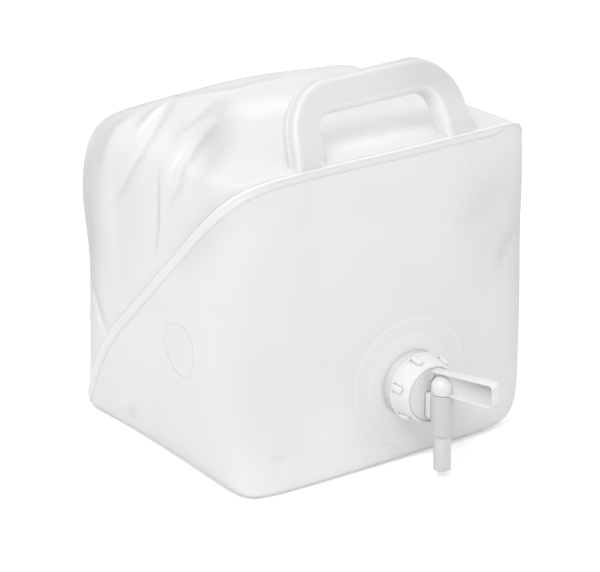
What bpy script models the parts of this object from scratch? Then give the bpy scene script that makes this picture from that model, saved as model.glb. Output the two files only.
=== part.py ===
"""Collapsible water carrier, in metres, +Z up, origin at the middle of the base.

A soft moulded container of two halves that meet along a slanting seam, a hollow
loop handle on the front top edge, and a lever tap held on a screw neck by a collar.
The front, with the tap, faces -Y.
"""
import math

import bmesh
import bpy
from mathutils import Matrix

# Container, full size and wall
WIDTH = 0.285
DEPTH = 0.245
HEIGHT = 0.280
WALL = 0.0012
GAP = 0.0003
OVERRUN = 0.05

# How far from each edge of the container its rounding starts
FRONT_LEFT_ROUND = 0.070
FRONT_RIGHT_ROUND = 0.028
FRONT_TOP_LEFT_ROUND = 0.060
FRONT_TOP_RIGHT_ROUND = 0.016
REAR_SIDE_ROUND = 0.024
FRONT_ROUND = 0.011
LEFT_FRONT_ROUND = 0.066
LEFT_TOP_FRONT_ROUND = 0.046
RIGHT_FRONT_ROUND = 0.026
REAR_ROUND = 0.034
FRONT_TOP_ROUND = 0.016
MIDDLE_TOP_ROUND = 0.045
REAR_TOP_ROUND = 0.074
TOP_SIDE_ROUND = 0.052
FRONT_BASE_ROUND = 0.014
LEFT_BASE_ROUND = 0.010
RIGHT_BASE_ROUND = 0.044
LEFT_CORNER_ROUND = 0.030
RIGHT_CORNER_ROUND = 0.056

# Softness of the container's faces
TOP_CROWN = 0.004
TOP_REAR_DROP = 0.0115
TOP_REAR_TILT = 0.0025
TOP_MIDDLE_DROP = 0.0035
CORNER_DROP = 0.006
LEFT_CORNER_DROP = 0.001
LEFT_TOE = 0.015
MIDDLE_TOE = 0.010
RIGHT_TOE = 0.009
BASE_TUCK = 0.004
SIDE_BELLY = 0.003
REAR_SHOULDER = 0.016
REAR_TOP_SHOULDER = 0.004
REAR_FOOT = 0.0065
REAR_WAIST = 0.005
FRONT_BELLY = 0.0065

# Seam between the two halves
SEAM_DROP = 0.002
SEAM_BEND_DEPTH = 0.060
SEAM_FOOT_DEPTH = 0.119
SEAM_SLOPE_SHARE = 0.97
SEAM_KNEE_SHARE = 0.75
SEAM_CREASE_SHARE = 0.85
CORNER_CREASE_SHARE = 0.1
SEAM_PROUD = 0.0018
SEAM_ROOT = 0.0008
SEAM_WIDTH = 0.0034

# Where the wall groups part when the container is pressed flat
FRONT_RIM = 0.026
REAR_RIM = 0.034

# Handle
HANDLE_HALF = 0.0885
HANDLE_RISE = 0.065
HANDLE_CORNER = 0.042
HANDLE_BAR = 0.028
HOLE_CORNER = 0.010
HANDLE_THICK = 0.022
HANDLE_EDGE = 0.0055
HANDLE_WALL = 0.0018
HANDLE_LEAN = math.radians(26)
HANDLE_TAPER_SHARE = 0.10
HANDLE_SETBACK = 0.0090
HANDLE_OFFSET = 0.0030
HANDLE_ROOT = 0.0060
RIDGE_PROUD = 0.0022
RIDGE_THICK = 0.0024

# Neck, its pad on the front wall, and its place
NECK_X = 0.0265
NECK_Z = 0.0685
NECK_BORE_R = 0.0205
NECK_THREAD_R = 0.0242
NECK_BOSS_R = 0.0270
NECK_FLANGE_R = 0.0340
NECK_FLANGE_THICK = 0.0025
NECK_BOSS_LENGTH = 0.0050
NECK_THREAD_LENGTH = 0.0150
NECK_TAIL_R = 0.0235
NECK_TAIL_LENGTH = 0.0080
NECK_CHAMFER = 0.0010
PAD_R = 0.0550
PAD_STEP_R = 0.0410
PAD_RISE = 0.0015
PAD_STEP_RISE = 0.0035
PAD_ROOT = 0.0040
PAD_SLOPE = 0.0015

# Washer, tap flange and collar, along the neck's axis
WASHER_THICK = 0.0020
WASHER_BORE_R = 0.0160
FLANGE_THICK = 0.0025
LIP_THICK = 0.0026
THREAD_CLEARANCE = 0.0006
COLLAR_R = 0.0300
COLLAR_RIM_LENGTH = 0.0030
COLLAR_REAR_R = 0.0282
COLLAR_FRONT_R = 0.0248
COLLAR_CHAMFER = 0.0014
COLLAR_SKIRT = 0.0130
LUG_COUNT = 8
LUG_WIDTH = 0.0022
LUG_PROUD = 0.0012
LUG_SHARE = 0.80

# Tap body
TAP_NOSE_R = 0.0200
TAP_NOSE_LENGTH = 0.0020
TAP_NOSE_DOME = 0.0015
TAP_INLET_R = 0.0045
TAP_ARM_R = 0.0062
SPOUT_REACH = 0.0486
SLEEVE_R = 0.0100
SLEEVE_FOOT = 0.0350
SLEEVE_TOP = 0.0750
SLEEVE_CHAMFER = 0.0016

# Lever with its plug and spout
SPOUT_R = 0.0073
SPOUT_BORE_R = 0.0053
SPOUT_TIP = 0.0036
PORT_R = 0.0042
HEAD_TOP = 0.0905
HEAD_DOME = 0.0075
LEVER_AHEAD = 0.0500
LEVER_BEHIND = 0.0085
LEVER_TOP = 0.0940
LEVER_WIDTH = 0.0065
LEVER_WEB = 0.0020
LEVER_FLANGE = 0.0019
LEVER_CORNER = 0.0030
LEVER_AZIMUTH = math.radians(-66.5)
LEVER_OPEN_TURN = math.radians(-23.5)

# Facets
ROUND_STEPS = 36
TUBE_STEPS = 24
CORNER_STEPS = 4
ARCH_STEPS = 7
DOME_STEPS = 5
EDGE_STEPS = 3
EDGE_ANGLE = math.radians(60)
FLAT_ANGLE = math.radians(1)
MERGE = 0.00001
CAGE_CUTS = 3
CAGE_LEVELS = 2
SEAM_CURVE_STEPS = 5


def material(name, colour, roughness):
    """A plain plastic."""
    made = bpy.data.materials.new(name)
    made.use_nodes = True
    shader = made.node_tree.nodes["Principled BSDF"]
    shader.inputs["Base Color"].default_value = (*colour, 1)
    shader.inputs["Roughness"].default_value = roughness
    shader.inputs["Metallic"].default_value = 0
    return made


def collection(name):
    made = bpy.data.collections.new(name)
    bpy.context.scene.collection.children.link(made)
    return made


def add(name, mesh, group, finish=None):
    """Link a mesh as an object; one without a finish is a cutter."""
    thing = bpy.data.objects.new(name, mesh)
    group.objects.link(thing)
    mesh.shade_smooth()
    if finish:
        mesh.materials.append(finish)
    else:
        thing.hide_render = True
        thing.display_type = "WIRE"
    return thing


def mesh_of(name, bm):
    mesh = bpy.data.meshes.new(name)
    bm.to_mesh(mesh)
    bm.free()
    return mesh


def combine(thing, other, operation, solver="EXACT"):
    step = thing.modifiers.new(operation.title() + " " + other.name, "BOOLEAN")
    step.operation = operation
    step.solver = solver
    step.object = other
    return thing


def box(name, low, high):
    """A cutter from its lowest to its highest corner."""
    bm = bmesh.new()
    bmesh.ops.create_cube(bm, size=1)
    for v in bm.verts:
        for n in range(3):
            v.co[n] = low[n] if v.co[n] < 0 else high[n]
    return add(name, mesh_of(name, bm), cutters)


def turned(name, profile, closed, steps, group, finish=None):
    """A profile of (radius, height) points, read down the outer side, turned round Z."""
    bm = bmesh.new()
    points = [bm.verts.new((r, 0, z)) for r, z in profile]
    for a, b in zip(points, points[1:]):
        bm.edges.new((a, b))
    if closed:
        bm.edges.new((points[-1], points[0]))
    thing = add(name, mesh_of(name, bm), group, finish)
    turn = thing.modifiers.new("Turn", "SCREW")
    turn.axis = "Z"
    turn.steps = turn.render_steps = steps
    turn.use_merge_vertices = True
    turn.merge_threshold = MERGE
    turn.use_smooth_shade = True
    return thing


def flat_outline(name, outline, thick, group, finish=None):
    """A closed outline in the object's XY plane, made a plate that is centred on it."""
    curve = bpy.data.curves.new(name, "CURVE")
    curve.dimensions = "2D"
    curve.fill_mode = "BOTH"
    curve.extrude = thick / 2
    spline = curve.splines.new("POLY")
    spline.points.add(len(outline) - 1)
    for point, (x, y) in zip(spline.points, outline):
        point.co = (x, y, 0, 1)
    spline.use_cyclic_u = True
    guide = bpy.data.objects.new(name + "_outline", curve)
    bpy.context.scene.collection.objects.link(guide)
    bpy.context.view_layer.update()
    seen = guide.evaluated_get(bpy.context.evaluated_depsgraph_get())
    mesh = bpy.data.meshes.new_from_object(seen)
    bpy.data.objects.remove(guide)
    bm = bmesh.new()
    bm.from_mesh(mesh)
    bmesh.ops.remove_doubles(bm, verts=bm.verts[:], dist=MERGE)
    bmesh.ops.dissolve_limit(bm, angle_limit=FLAT_ANGLE, verts=bm.verts[:], edges=bm.edges[:])
    bmesh.ops.recalc_face_normals(bm, faces=bm.faces[:])
    bm.to_mesh(mesh)
    bm.free()
    return add(name, mesh, group, finish)


def arc(centre_x, centre_y, radius, start, end, steps):
    """Points along an arc, angles in degrees."""
    found = []
    for n in range(steps + 1):
        angle = math.radians(start + (end - start) * n / steps)
        found.append((centre_x + radius * math.cos(angle), centre_y + radius * math.sin(angle)))
    return found


# Scene
for old in list(bpy.data.objects):
    bpy.data.objects.remove(old)
parts = collection("water_carrier")
cutters = collection("cutters")

film = material("milky_film", (0.86, 0.87, 0.86), 0.42)
tap_white = material("tap_plastic", (0.90, 0.90, 0.89), 0.35)
washer_grey = material("washer_rubber", (0.80, 0.80, 0.78), 0.60)


# Container form
def cage_point(i, j, k):
    """Place of a point of the coarse cage, counted from the left, the front and the base."""
    left, front = -WIDTH / 2, -DEPTH / 2
    left_side = FRONT_LEFT_ROUND if j < 2 else REAR_SIDE_ROUND
    right_side = FRONT_RIGHT_ROUND if j < 2 else REAR_SIDE_ROUND
    if k == 4:
        left_side = TOP_SIDE_ROUND if j > 0 else FRONT_TOP_LEFT_ROUND
        right_side = TOP_SIDE_ROUND if j > 0 else FRONT_TOP_RIGHT_ROUND
    elif k == 0:
        left_side = LEFT_CORNER_ROUND if j < 2 else REAR_SIDE_ROUND
        right_side = RIGHT_CORNER_ROUND
    x = (left, left + left_side, 0, -left - right_side, -left)[i]
    near = FRONT_ROUND
    if 0 < k < 4 and i in (0, 4):
        near = LEFT_FRONT_ROUND if i == 0 else RIGHT_FRONT_ROUND
    elif k == 4 and i == 0:
        near = LEFT_TOP_FRONT_ROUND
    y = (front, front + near, 0, -front - REAR_ROUND, -front)[j]
    left_base = FRONT_BASE_ROUND if j < 2 else LEFT_BASE_ROUND
    base = (left_base, left_base, FRONT_BASE_ROUND, RIGHT_BASE_ROUND, RIGHT_BASE_ROUND)[i]
    top = (FRONT_TOP_ROUND, FRONT_TOP_ROUND, MIDDLE_TOP_ROUND, REAR_TOP_ROUND, REAR_TOP_ROUND)[j]
    z = (0, base, HEIGHT / 2, HEIGHT - top, HEIGHT)[k]
    if k == 4 and 0 < i < 4 and 1 < j < 4:
        z += TOP_CROWN
    if k == 4 and 0 < j < 3 and i > 2:
        z -= CORNER_DROP if i == 4 else CORNER_DROP / 2
    if k > 2 and j > 2:
        z -= TOP_MIDDLE_DROP if i == 2 else TOP_REAR_DROP + TOP_REAR_TILT * x / (WIDTH / 2)
    if k == 0 and j == 0:
        y -= (LEFT_TOE / 2, LEFT_TOE, MIDDLE_TOE, RIGHT_TOE, 0)[i]
    if i in (0, 4):
        outward = math.copysign(1, x)
        if j == 4:
            x += outward * (REAR_FOOT, REAR_FOOT, -REAR_WAIST, REAR_SHOULDER, REAR_TOP_SHOULDER)[k]
        elif k == 4 and j == 0:
            z -= CORNER_DROP if i == 4 else LEFT_CORNER_DROP
        elif j < 2 and k > 0:
            x += outward * FRONT_BELLY
        elif k == 2:
            x += outward * SIDE_BELLY
        elif k == 0 and i == 0 and j == 2:
            x += BASE_TUCK
    return x, y, z


def container_cage(name):
    bm = bmesh.new()
    bmesh.ops.create_cube(bm, size=1)
    bmesh.ops.subdivide_edges(bm, edges=bm.edges[:], cuts=CAGE_CUTS, use_grid_fill=True)
    spans = CAGE_CUTS + 1
    edge_crease = bm.edges.layers.float.new("crease_edge")
    point_crease = bm.verts.layers.float.new("crease_vert")
    places = {v: [round((c + 0.5) * spans) for c in v.co] for v in bm.verts}
    for v, (i, j, k) in places.items():
        v.co = cage_point(i, j, k)
        if j == 0 and k == spans and i in (0, spans):
            v[point_crease] = CORNER_CREASE_SHARE
    for edge in bm.edges:
        if all(places[v][1] == 0 and places[v][2] == spans for v in edge.verts):
            edge[edge_crease] = SEAM_CREASE_SHARE
    return mesh_of(name, bm)


def soft_form(name, mesh, group, finish=None):
    thing = add(name, mesh, group, finish)
    smooth = thing.modifiers.new("Soften", "SUBSURF")
    smooth.levels = smooth.render_levels = CAGE_LEVELS
    return thing


def shell(thing, thick, offset):
    walls = thing.modifiers.new("Wall", "SOLIDIFY")
    walls.thickness = thick
    walls.offset = offset
    walls.use_even_offset = True
    return thing


def seam_line(shift):
    """The seam in the YZ plane, front top to rear base, moved by shift towards the rear top."""
    top = (-DEPTH / 2, HEIGHT - SEAM_DROP)
    bend = (SEAM_BEND_DEPTH, top[1] - SEAM_SLOPE_SHARE * (SEAM_BEND_DEPTH - top[0]))
    lead = (top[0] - OVERRUN, top[1] + SEAM_SLOPE_SHARE * OVERRUN)
    foot = (SEAM_FOOT_DEPTH, 0)
    # between the bend and the foot the seam curves down, tangent to the slope
    knee_depth = bend[0] + SEAM_KNEE_SHARE * (SEAM_FOOT_DEPTH - bend[0])
    knee = (knee_depth, bend[1] - SEAM_SLOPE_SHARE * (knee_depth - bend[0]))
    curve = []
    for n in range(SEAM_CURVE_STEPS + 1):
        t = n / SEAM_CURVE_STEPS
        curve.append(tuple(bend[m] * (1 - t) ** 2 + 2 * knee[m] * t * (1 - t) + foot[m] * t * t
                           for m in range(2)))
    tail = (foot[0], foot[1] - OVERRUN)
    line = [lead, *curve, tail]
    moved = []
    for n, (y, z) in enumerate(line):
        before, after = line[max(n - 1, 0)], line[min(n + 1, len(line) - 1)]
        run, fall = after[0] - before[0], after[1] - before[1]
        length = math.hypot(run, fall)
        moved.append((y - fall / length * shift, z + run / length * shift))
    return moved


def across(name, outline):
    """A plate with its outline in the YZ plane, as wide as the container and more."""
    thing = flat_outline(name, outline, WIDTH + 2 * OVERRUN, cutters)
    thing.rotation_euler = (math.radians(90), 0, math.radians(90))
    return thing


FAR = DEPTH / 2 + 2 * OVERRUN
REACH = HEIGHT + 2 * OVERRUN
above_seam = across("above_seam", [*seam_line(GAP / 2), (FAR, -OVERRUN), (FAR, REACH), (-FAR, REACH)])
below_seam = across("below_seam", [*seam_line(-GAP / 2), (-FAR, -OVERRUN), (-FAR, HEIGHT)])
seam_slab = across("seam_slab", [*seam_line(SEAM_WIDTH / 2), *reversed(seam_line(-SEAM_WIDTH / 2))])

cage = container_cage("container_cage")
seam_bead = soft_form("seam_bead", cage.copy(), cutters)
bead_thick = SEAM_PROUD + SEAM_ROOT
shell(seam_bead, bead_thick, (SEAM_PROUD - SEAM_ROOT) / bead_thick)
combine(seam_bead, seam_slab, "INTERSECT")

# The whole container as one wall, from which each wall group is taken
front_rim = -DEPTH / 2 + FRONT_RIM
rear_rim = DEPTH / 2 - REAR_RIM
before_rear = box("before_rear", (-FAR - WIDTH, -FAR, -OVERRUN), (FAR + WIDTH, rear_rim - GAP / 2, REACH))
behind_rear = box("behind_rear", (-FAR - WIDTH, rear_rim + GAP / 2, -OVERRUN), (FAR + WIDTH, FAR, REACH))
before_front = box("before_front", (-FAR - WIDTH, -FAR, -OVERRUN), (FAR + WIDTH, front_rim - GAP / 2, REACH))
behind_front = box("behind_front", (-FAR - WIDTH, front_rim + GAP / 2, -OVERRUN), (FAR + WIDTH, FAR, REACH))


def wall_group(name, *regions):
    thing = shell(soft_form(name, cage.copy(), parts, film), WALL, -1)
    # the exact solver loses the film where the bead's two skins pass through it
    combine(thing, seam_bead, "UNION", "MANIFOLD")
    for region in regions:
        combine(thing, region, "INTERSECT", "MANIFOLD")
    return thing


front_wall = wall_group("front_wall", below_seam, before_front)
lower_walls = wall_group("lower_walls", below_seam, behind_front)
upper_walls = wall_group("upper_walls", above_seam, before_rear)
rear_wall = wall_group("rear_wall", above_seam, behind_rear)

# Neck frame: local Z runs forward along the neck, from the front wall's face
neck_frame = bpy.data.objects.new("neck_axis", None)
neck_frame.location = (NECK_X, -DEPTH / 2, NECK_Z)
neck_frame.rotation_euler = (math.radians(90), 0, 0)
parts.objects.link(neck_frame)

# Stations along the neck's axis, each from the one behind it
neck_seat = PAD_STEP_RISE + GAP
flange_front = neck_seat + NECK_FLANGE_THICK
boss_front = flange_front + NECK_BOSS_LENGTH
neck_rim = boss_front + NECK_THREAD_LENGTH
washer_back = neck_rim + GAP
washer_front = washer_back + WASHER_THICK
tap_back = washer_front + GAP
tap_shoulder = tap_back + FLANGE_THICK
lip_back = tap_shoulder + GAP
collar_front = lip_back + LIP_THICK
collar_back = collar_front - LIP_THICK - COLLAR_SKIRT - WASHER_THICK - FLANGE_THICK
nose_front = collar_front + TAP_NOSE_LENGTH + TAP_NOSE_DOME


def on_neck(thing):
    thing.parent = neck_frame
    return thing


pad = on_neck(turned("neck_pad", [
    (0, PAD_STEP_RISE),
    (PAD_STEP_R, PAD_STEP_RISE),
    (PAD_STEP_R + PAD_SLOPE, PAD_RISE),
    (PAD_R, PAD_RISE),
    (PAD_R + PAD_SLOPE, 0),
    (PAD_R + PAD_SLOPE, -PAD_ROOT),
    (0, -PAD_ROOT),
], False, ROUND_STEPS, cutters))
neck_hole = on_neck(turned("neck_hole", [
    (0, OVERRUN),
    (NECK_TAIL_R + GAP, OVERRUN),
    (NECK_TAIL_R + GAP, -OVERRUN),
    (0, -OVERRUN),
], False, ROUND_STEPS, cutters))
combine(front_wall, pad, "UNION")
combine(front_wall, neck_hole, "DIFFERENCE")

neck = on_neck(turned("neck", [
    (NECK_BORE_R, neck_rim),
    (NECK_THREAD_R - NECK_CHAMFER, neck_rim),
    (NECK_THREAD_R, neck_rim - NECK_CHAMFER),
    (NECK_THREAD_R, boss_front),
    (NECK_BOSS_R - NECK_CHAMFER, boss_front),
    (NECK_BOSS_R, boss_front - NECK_CHAMFER),
    (NECK_BOSS_R, flange_front),
    (NECK_FLANGE_R - NECK_CHAMFER, flange_front),
    (NECK_FLANGE_R, flange_front - NECK_CHAMFER),
    (NECK_FLANGE_R, neck_seat),
    (NECK_TAIL_R, neck_seat),
    (NECK_TAIL_R, neck_seat - NECK_TAIL_LENGTH),
    (NECK_BORE_R, neck_seat - NECK_TAIL_LENGTH),
], True, ROUND_STEPS, parts, film))

washer = on_neck(turned("neck_washer", [
    (WASHER_BORE_R, washer_front),
    (NECK_THREAD_R - NECK_CHAMFER, washer_front),
    (NECK_THREAD_R - NECK_CHAMFER, washer_back),
    (WASHER_BORE_R, washer_back),
], True, ROUND_STEPS, parts, washer_grey))

# Collar, with lugs to grip
collar_bore = NECK_THREAD_R + THREAD_CLEARANCE
lip_bore = TAP_NOSE_R + GAP
collar = on_neck(turned("screw_collar", [
    (lip_bore, collar_front),
    (COLLAR_FRONT_R - COLLAR_CHAMFER, collar_front),
    (COLLAR_FRONT_R, collar_front - COLLAR_CHAMFER),
    (COLLAR_REAR_R, collar_back + COLLAR_RIM_LENGTH),
    (COLLAR_R, collar_back + COLLAR_RIM_LENGTH),
    (COLLAR_R, collar_back),
    (collar_bore, collar_back),
    (collar_bore, lip_back),
    (lip_bore, lip_back),
], True, ROUND_STEPS, parts, tap_white))


def lug_ribs():
    """Radial ribs on the collar's slanting side, one mesh."""
    bm = bmesh.new()
    foot = collar_back + COLLAR_RIM_LENGTH / 2
    length = (collar_front - COLLAR_CHAMFER - foot) * LUG_SHARE
    for n in range(LUG_COUNT):
        made = bmesh.ops.create_cube(bm, size=1)["verts"]
        for v in made:
            ahead = v.co.z > 0
            outer = (COLLAR_FRONT_R if ahead else COLLAR_REAR_R) + LUG_PROUD
            inner = collar_bore + (outer - collar_bore) / 2
            v.co = (outer if v.co.x > 0 else inner, v.co.y * LUG_WIDTH, foot + length if ahead else foot)
        turn = 2 * math.pi * (n + 0.5) / LUG_COUNT
        bmesh.ops.rotate(bm, verts=made, cent=(0, 0, 0), matrix=Matrix.Rotation(turn, 3, "Z"))
    return mesh_of("collar_lugs", bm)


lugs = on_neck(add("collar_lugs", lug_ribs(), cutters))
combine(collar, lugs, "UNION")

# Tap body: a plug in the collar with an upright sleeve in front of it
tap_body = on_neck(turned("tap_body", [
    (0, nose_front),
    (TAP_NOSE_R / 2, nose_front),
    (TAP_NOSE_R - TAP_NOSE_DOME, nose_front - TAP_NOSE_DOME),
    (TAP_NOSE_R, nose_front - 2 * TAP_NOSE_DOME),
    (TAP_NOSE_R, tap_shoulder),
    (NECK_THREAD_R - NECK_CHAMFER, tap_shoulder),
    (NECK_THREAD_R - NECK_CHAMFER, tap_back),
    (0, tap_back),
], False, ROUND_STEPS, parts, tap_white))
inlet = on_neck(turned("tap_inlet", [
    (0, SPOUT_REACH),
    (TAP_INLET_R, SPOUT_REACH),
    (TAP_INLET_R, 0),
    (0, 0),
], False, TUBE_STEPS, cutters))

# Upright axis of the lever, plug and spout
lever_frame = bpy.data.objects.new("lever_axis", None)
lever_frame.location = (NECK_X, -DEPTH / 2 - SPOUT_REACH, 0)
parts.objects.link(lever_frame)


def on_lever(thing):
    thing.parent = lever_frame
    return thing


sleeve = on_lever(turned("tap_sleeve", [
    (0, SLEEVE_TOP),
    (SLEEVE_R, SLEEVE_TOP),
    (SLEEVE_R, SLEEVE_FOOT + SLEEVE_CHAMFER),
    (SLEEVE_R - SLEEVE_CHAMFER, SLEEVE_FOOT),
    (0, SLEEVE_FOOT),
], False, TUBE_STEPS, cutters))
arm = on_neck(turned("tap_arm", [
    (0, SPOUT_REACH),
    (TAP_ARM_R, SPOUT_REACH),
    (TAP_ARM_R, tap_shoulder),
    (0, tap_shoulder),
], False, TUBE_STEPS, cutters))
plug_bore = on_lever(turned("plug_bore", [
    (0, HEIGHT),
    (SPOUT_R + GAP, HEIGHT),
    (SPOUT_R + GAP, -OVERRUN),
    (0, -OVERRUN),
], False, TUBE_STEPS, cutters))
combine(tap_body, arm, "UNION")
combine(tap_body, sleeve, "UNION")
combine(tap_body, inlet, "DIFFERENCE")
combine(tap_body, plug_bore, "DIFFERENCE", "MANIFOLD")

# Lever, domed head, hollow plug and spout in one moulding
head_foot = SLEEVE_TOP + GAP
dome = [(SLEEVE_R * math.sin(math.radians(90) * n / DOME_STEPS),
         HEAD_TOP - HEAD_DOME * (1 - math.cos(math.radians(90) * n / DOME_STEPS)))
        for n in range(DOME_STEPS + 1)]
tap_lever = on_lever(turned("tap_lever", [
    *dome,
    (SLEEVE_R, head_foot),
    (SPOUT_R, head_foot),
    (SPOUT_R, SPOUT_TIP),
    (SPOUT_BORE_R, SPOUT_TIP),
    (SPOUT_BORE_R, head_foot),
    (0, head_foot),
], False, TUBE_STEPS, parts, tap_white))


def lever_outline():
    low, high = head_foot, LEVER_TOP
    ahead, behind, corner = LEVER_AHEAD, -LEVER_BEHIND, LEVER_CORNER
    return [(behind, low), *arc(ahead - corner, low + corner, corner, -90, 0, CORNER_STEPS),
            *arc(ahead - corner, high - corner, corner, 0, 90, CORNER_STEPS), (behind, high)]


blade = on_lever(flat_outline("lever_blade", lever_outline(), LEVER_WIDTH, cutters))
blade.rotation_euler = (math.radians(90), 0, LEVER_AZIMUTH)
pocket_low = head_foot + LEVER_FLANGE
pocket_high = LEVER_TOP - LEVER_FLANGE
pocket_far = LEVER_AHEAD - LEVER_FLANGE
web_side = LEVER_WEB / 2
pockets = bmesh.new()
for side in (-1, 1):
    for v in bmesh.ops.create_cube(pockets, size=1)["verts"]:
        along = pocket_far if v.co.x > 0 else 0
        up = pocket_high if v.co.z > 0 else pocket_low
        v.co = (along, side * (LEVER_WIDTH if v.co.y > 0 else web_side), up)
bmesh.ops.recalc_face_normals(pockets, faces=pockets.faces[:])
lever_pockets = on_lever(add("lever_pockets", mesh_of("lever_pockets", pockets), cutters))
lever_pockets.rotation_euler = (0, 0, LEVER_AZIMUTH)
combine(blade, lever_pockets, "DIFFERENCE")
combine(tap_lever, blade, "UNION")
port = turned("plug_port", [
    (0, SLEEVE_R),
    (PORT_R, SLEEVE_R),
    (PORT_R, 0),
    (0, 0),
], False, TUBE_STEPS, cutters)
on_lever(port)
port.location = (0, 0, NECK_Z)
port.rotation_euler = (math.radians(-90), 0, -LEVER_OPEN_TURN)
combine(tap_lever, port, "DIFFERENCE")


# Handle: two moulded half tubes that meet on the seam
def arch(grow, root):
    """Outline of the handle, grown outward on both sides by grow, down to root."""
    half, rise, corner = HANDLE_HALF + grow, HANDLE_RISE + grow, HANDLE_CORNER + grow
    bar = HANDLE_BAR + grow
    return arch_between(half, rise, corner, HANDLE_HALF - bar, HANDLE_RISE - bar, HOLE_CORNER - grow, root)


def arch_between(half, rise, corner, hole_half, hole_rise, hole_corner, root):
    outer = [(half, -root), *arc(half - corner, rise - corner, corner, 0, 90, ARCH_STEPS),
             *arc(corner - half, rise - corner, corner, 90, 180, ARCH_STEPS), (-half, -root)]
    hole_corner = max(hole_corner, HOLE_CORNER / 2)
    across_hole, up_hole = hole_half - hole_corner, hole_rise - hole_corner
    inner = [(-hole_half, -root), *arc(-across_hole, up_hole, hole_corner, 180, 90, CORNER_STEPS),
             *arc(across_hole, up_hole, hole_corner, 90, 0, CORNER_STEPS), (hole_half, -root)]
    return [(x * (1 - HANDLE_TAPER_SHARE * h / HANDLE_RISE), h) for x, h in outer + inner]


def place_handle(thing):
    thing.location = (HANDLE_OFFSET, -DEPTH / 2 + HANDLE_SETBACK, HEIGHT)
    thing.rotation_euler = (math.radians(90) - HANDLE_LEAN, 0, 0)
    return thing


def round_edges(thing, width):
    edge = thing.modifiers.new("Round", "BEVEL")
    edge.width = width
    edge.segments = EDGE_STEPS
    edge.limit_method = "ANGLE"
    edge.angle_limit = EDGE_ANGLE
    return thing


cavity = place_handle(flat_outline("handle_cavity", arch(-HANDLE_WALL, HANDLE_ROOT + OVERRUN),
                                   HANDLE_THICK - 2 * HANDLE_WALL, cutters))
round_edges(cavity, HANDLE_EDGE - HANDLE_WALL)
ridge = place_handle(flat_outline("handle_ridge", arch_between(
    HANDLE_HALF + RIDGE_PROUD, HANDLE_RISE + RIDGE_PROUD, HANDLE_CORNER + RIDGE_PROUD,
    HANDLE_HALF - HANDLE_BAR / 2, HANDLE_RISE - HANDLE_BAR / 2, HOLE_CORNER + RIDGE_PROUD,
    HANDLE_ROOT + OVERRUN), RIDGE_THICK, cutters))
container_space = soft_form("container_space", cage.copy(), cutters)
grow = container_space.modifiers.new("Gap", "DISPLACE")
grow.strength = GAP
grow.mid_level = 0
seam_space = soft_form("seam_space", cage.copy(), cutters)
shell(seam_space, bead_thick + GAP, (SEAM_PROUD + GAP - SEAM_ROOT) / (bead_thick + GAP))
wide_half = SEAM_WIDTH / 2 + GAP
wide_slab = across("wide_slab", [*seam_line(wide_half), *reversed(seam_line(-wide_half))])
combine(seam_space, wide_slab, "INTERSECT")
reach = HANDLE_HALF + HANDLE_RISE
front_of_seam = place_handle(box("front_of_seam", (-reach, -HANDLE_ROOT, GAP / 2), (reach, reach, reach)))
back_of_seam = place_handle(box("back_of_seam", (-reach, -HANDLE_ROOT, -reach), (reach, reach, -GAP / 2)))
for name, side in (("handle_front", front_of_seam), ("handle_rear", back_of_seam)):
    half_tube = place_handle(flat_outline(name, arch(0, HANDLE_ROOT + OVERRUN), HANDLE_THICK, parts, film))
    round_edges(half_tube, HANDLE_EDGE)
    combine(half_tube, ridge, "UNION")
    combine(half_tube, cavity, "DIFFERENCE")
    # the exact solver leaves a sliver of the leg in the film where the skins almost touch
    combine(half_tube, container_space, "DIFFERENCE", "MANIFOLD")
    combine(half_tube, seam_space, "DIFFERENCE", "MANIFOLD")
    combine(half_tube, side, "INTERSECT", "MANIFOLD")
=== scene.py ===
# %% [markdown]
# A collapsible water carrier: a soft, milky container that folds flat when it
# is empty, a hollow loop handle along its front top edge, and a lever tap that
# a collar holds on a screw neck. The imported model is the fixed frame. The
# visible pieces are built here around it, in metres, with the front towards -Y.

# %% The frame
import math

import bmesh
import bpy
import numpy as np
from bmesh.types import BMEdge, BMVert
from mathutils import Matrix, Vector
from mathutils.bvhtree import BVHTree


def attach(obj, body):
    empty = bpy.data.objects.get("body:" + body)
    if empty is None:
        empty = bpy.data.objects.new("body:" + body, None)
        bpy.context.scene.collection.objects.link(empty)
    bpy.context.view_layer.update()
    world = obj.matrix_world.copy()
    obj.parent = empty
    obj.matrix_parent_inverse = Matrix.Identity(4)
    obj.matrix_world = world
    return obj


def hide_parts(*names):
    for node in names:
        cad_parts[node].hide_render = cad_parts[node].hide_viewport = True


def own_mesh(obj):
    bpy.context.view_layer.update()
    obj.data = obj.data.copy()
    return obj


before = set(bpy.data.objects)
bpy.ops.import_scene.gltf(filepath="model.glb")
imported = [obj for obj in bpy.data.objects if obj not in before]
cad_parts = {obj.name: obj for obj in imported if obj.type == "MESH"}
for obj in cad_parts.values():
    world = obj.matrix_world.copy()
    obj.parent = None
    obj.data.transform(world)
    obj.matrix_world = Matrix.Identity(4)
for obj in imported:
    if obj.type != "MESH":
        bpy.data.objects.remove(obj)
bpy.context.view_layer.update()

# %% [markdown]
# The measures that several pieces share. The container's own sizes repeat the
# part's, because the soft skin has to lie where its solids are. The neck's
# axis runs forward from the front wall, and the lever's axis stands upright.

# %% Shared measures
WIDTH, DEPTH, HEIGHT = 0.285, 0.245, 0.280
FRONT = -DEPTH / 2
MIDDLE = Vector((0, 0, HEIGHT / 2))
NECK_X, NECK_Z = 0.0265, 0.0685
LEVER_Y = FRONT - 0.0486

# %% [markdown]
# The camera looks at the front left corner from a little above. A long lens
# from four metres away gives the weak perspective of a catalogue picture.

# %% Camera
CAMERA_TURN, CAMERA_RISE = math.radians(-34.103), math.radians(22.14)
CAMERA_DISTANCE, CAMERA_LENS, CAMERA_SENSOR = 4.0172, 283.25, 36
CAMERA_AIM = Vector((-0.0008, 0.0005, 0.1186))


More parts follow.
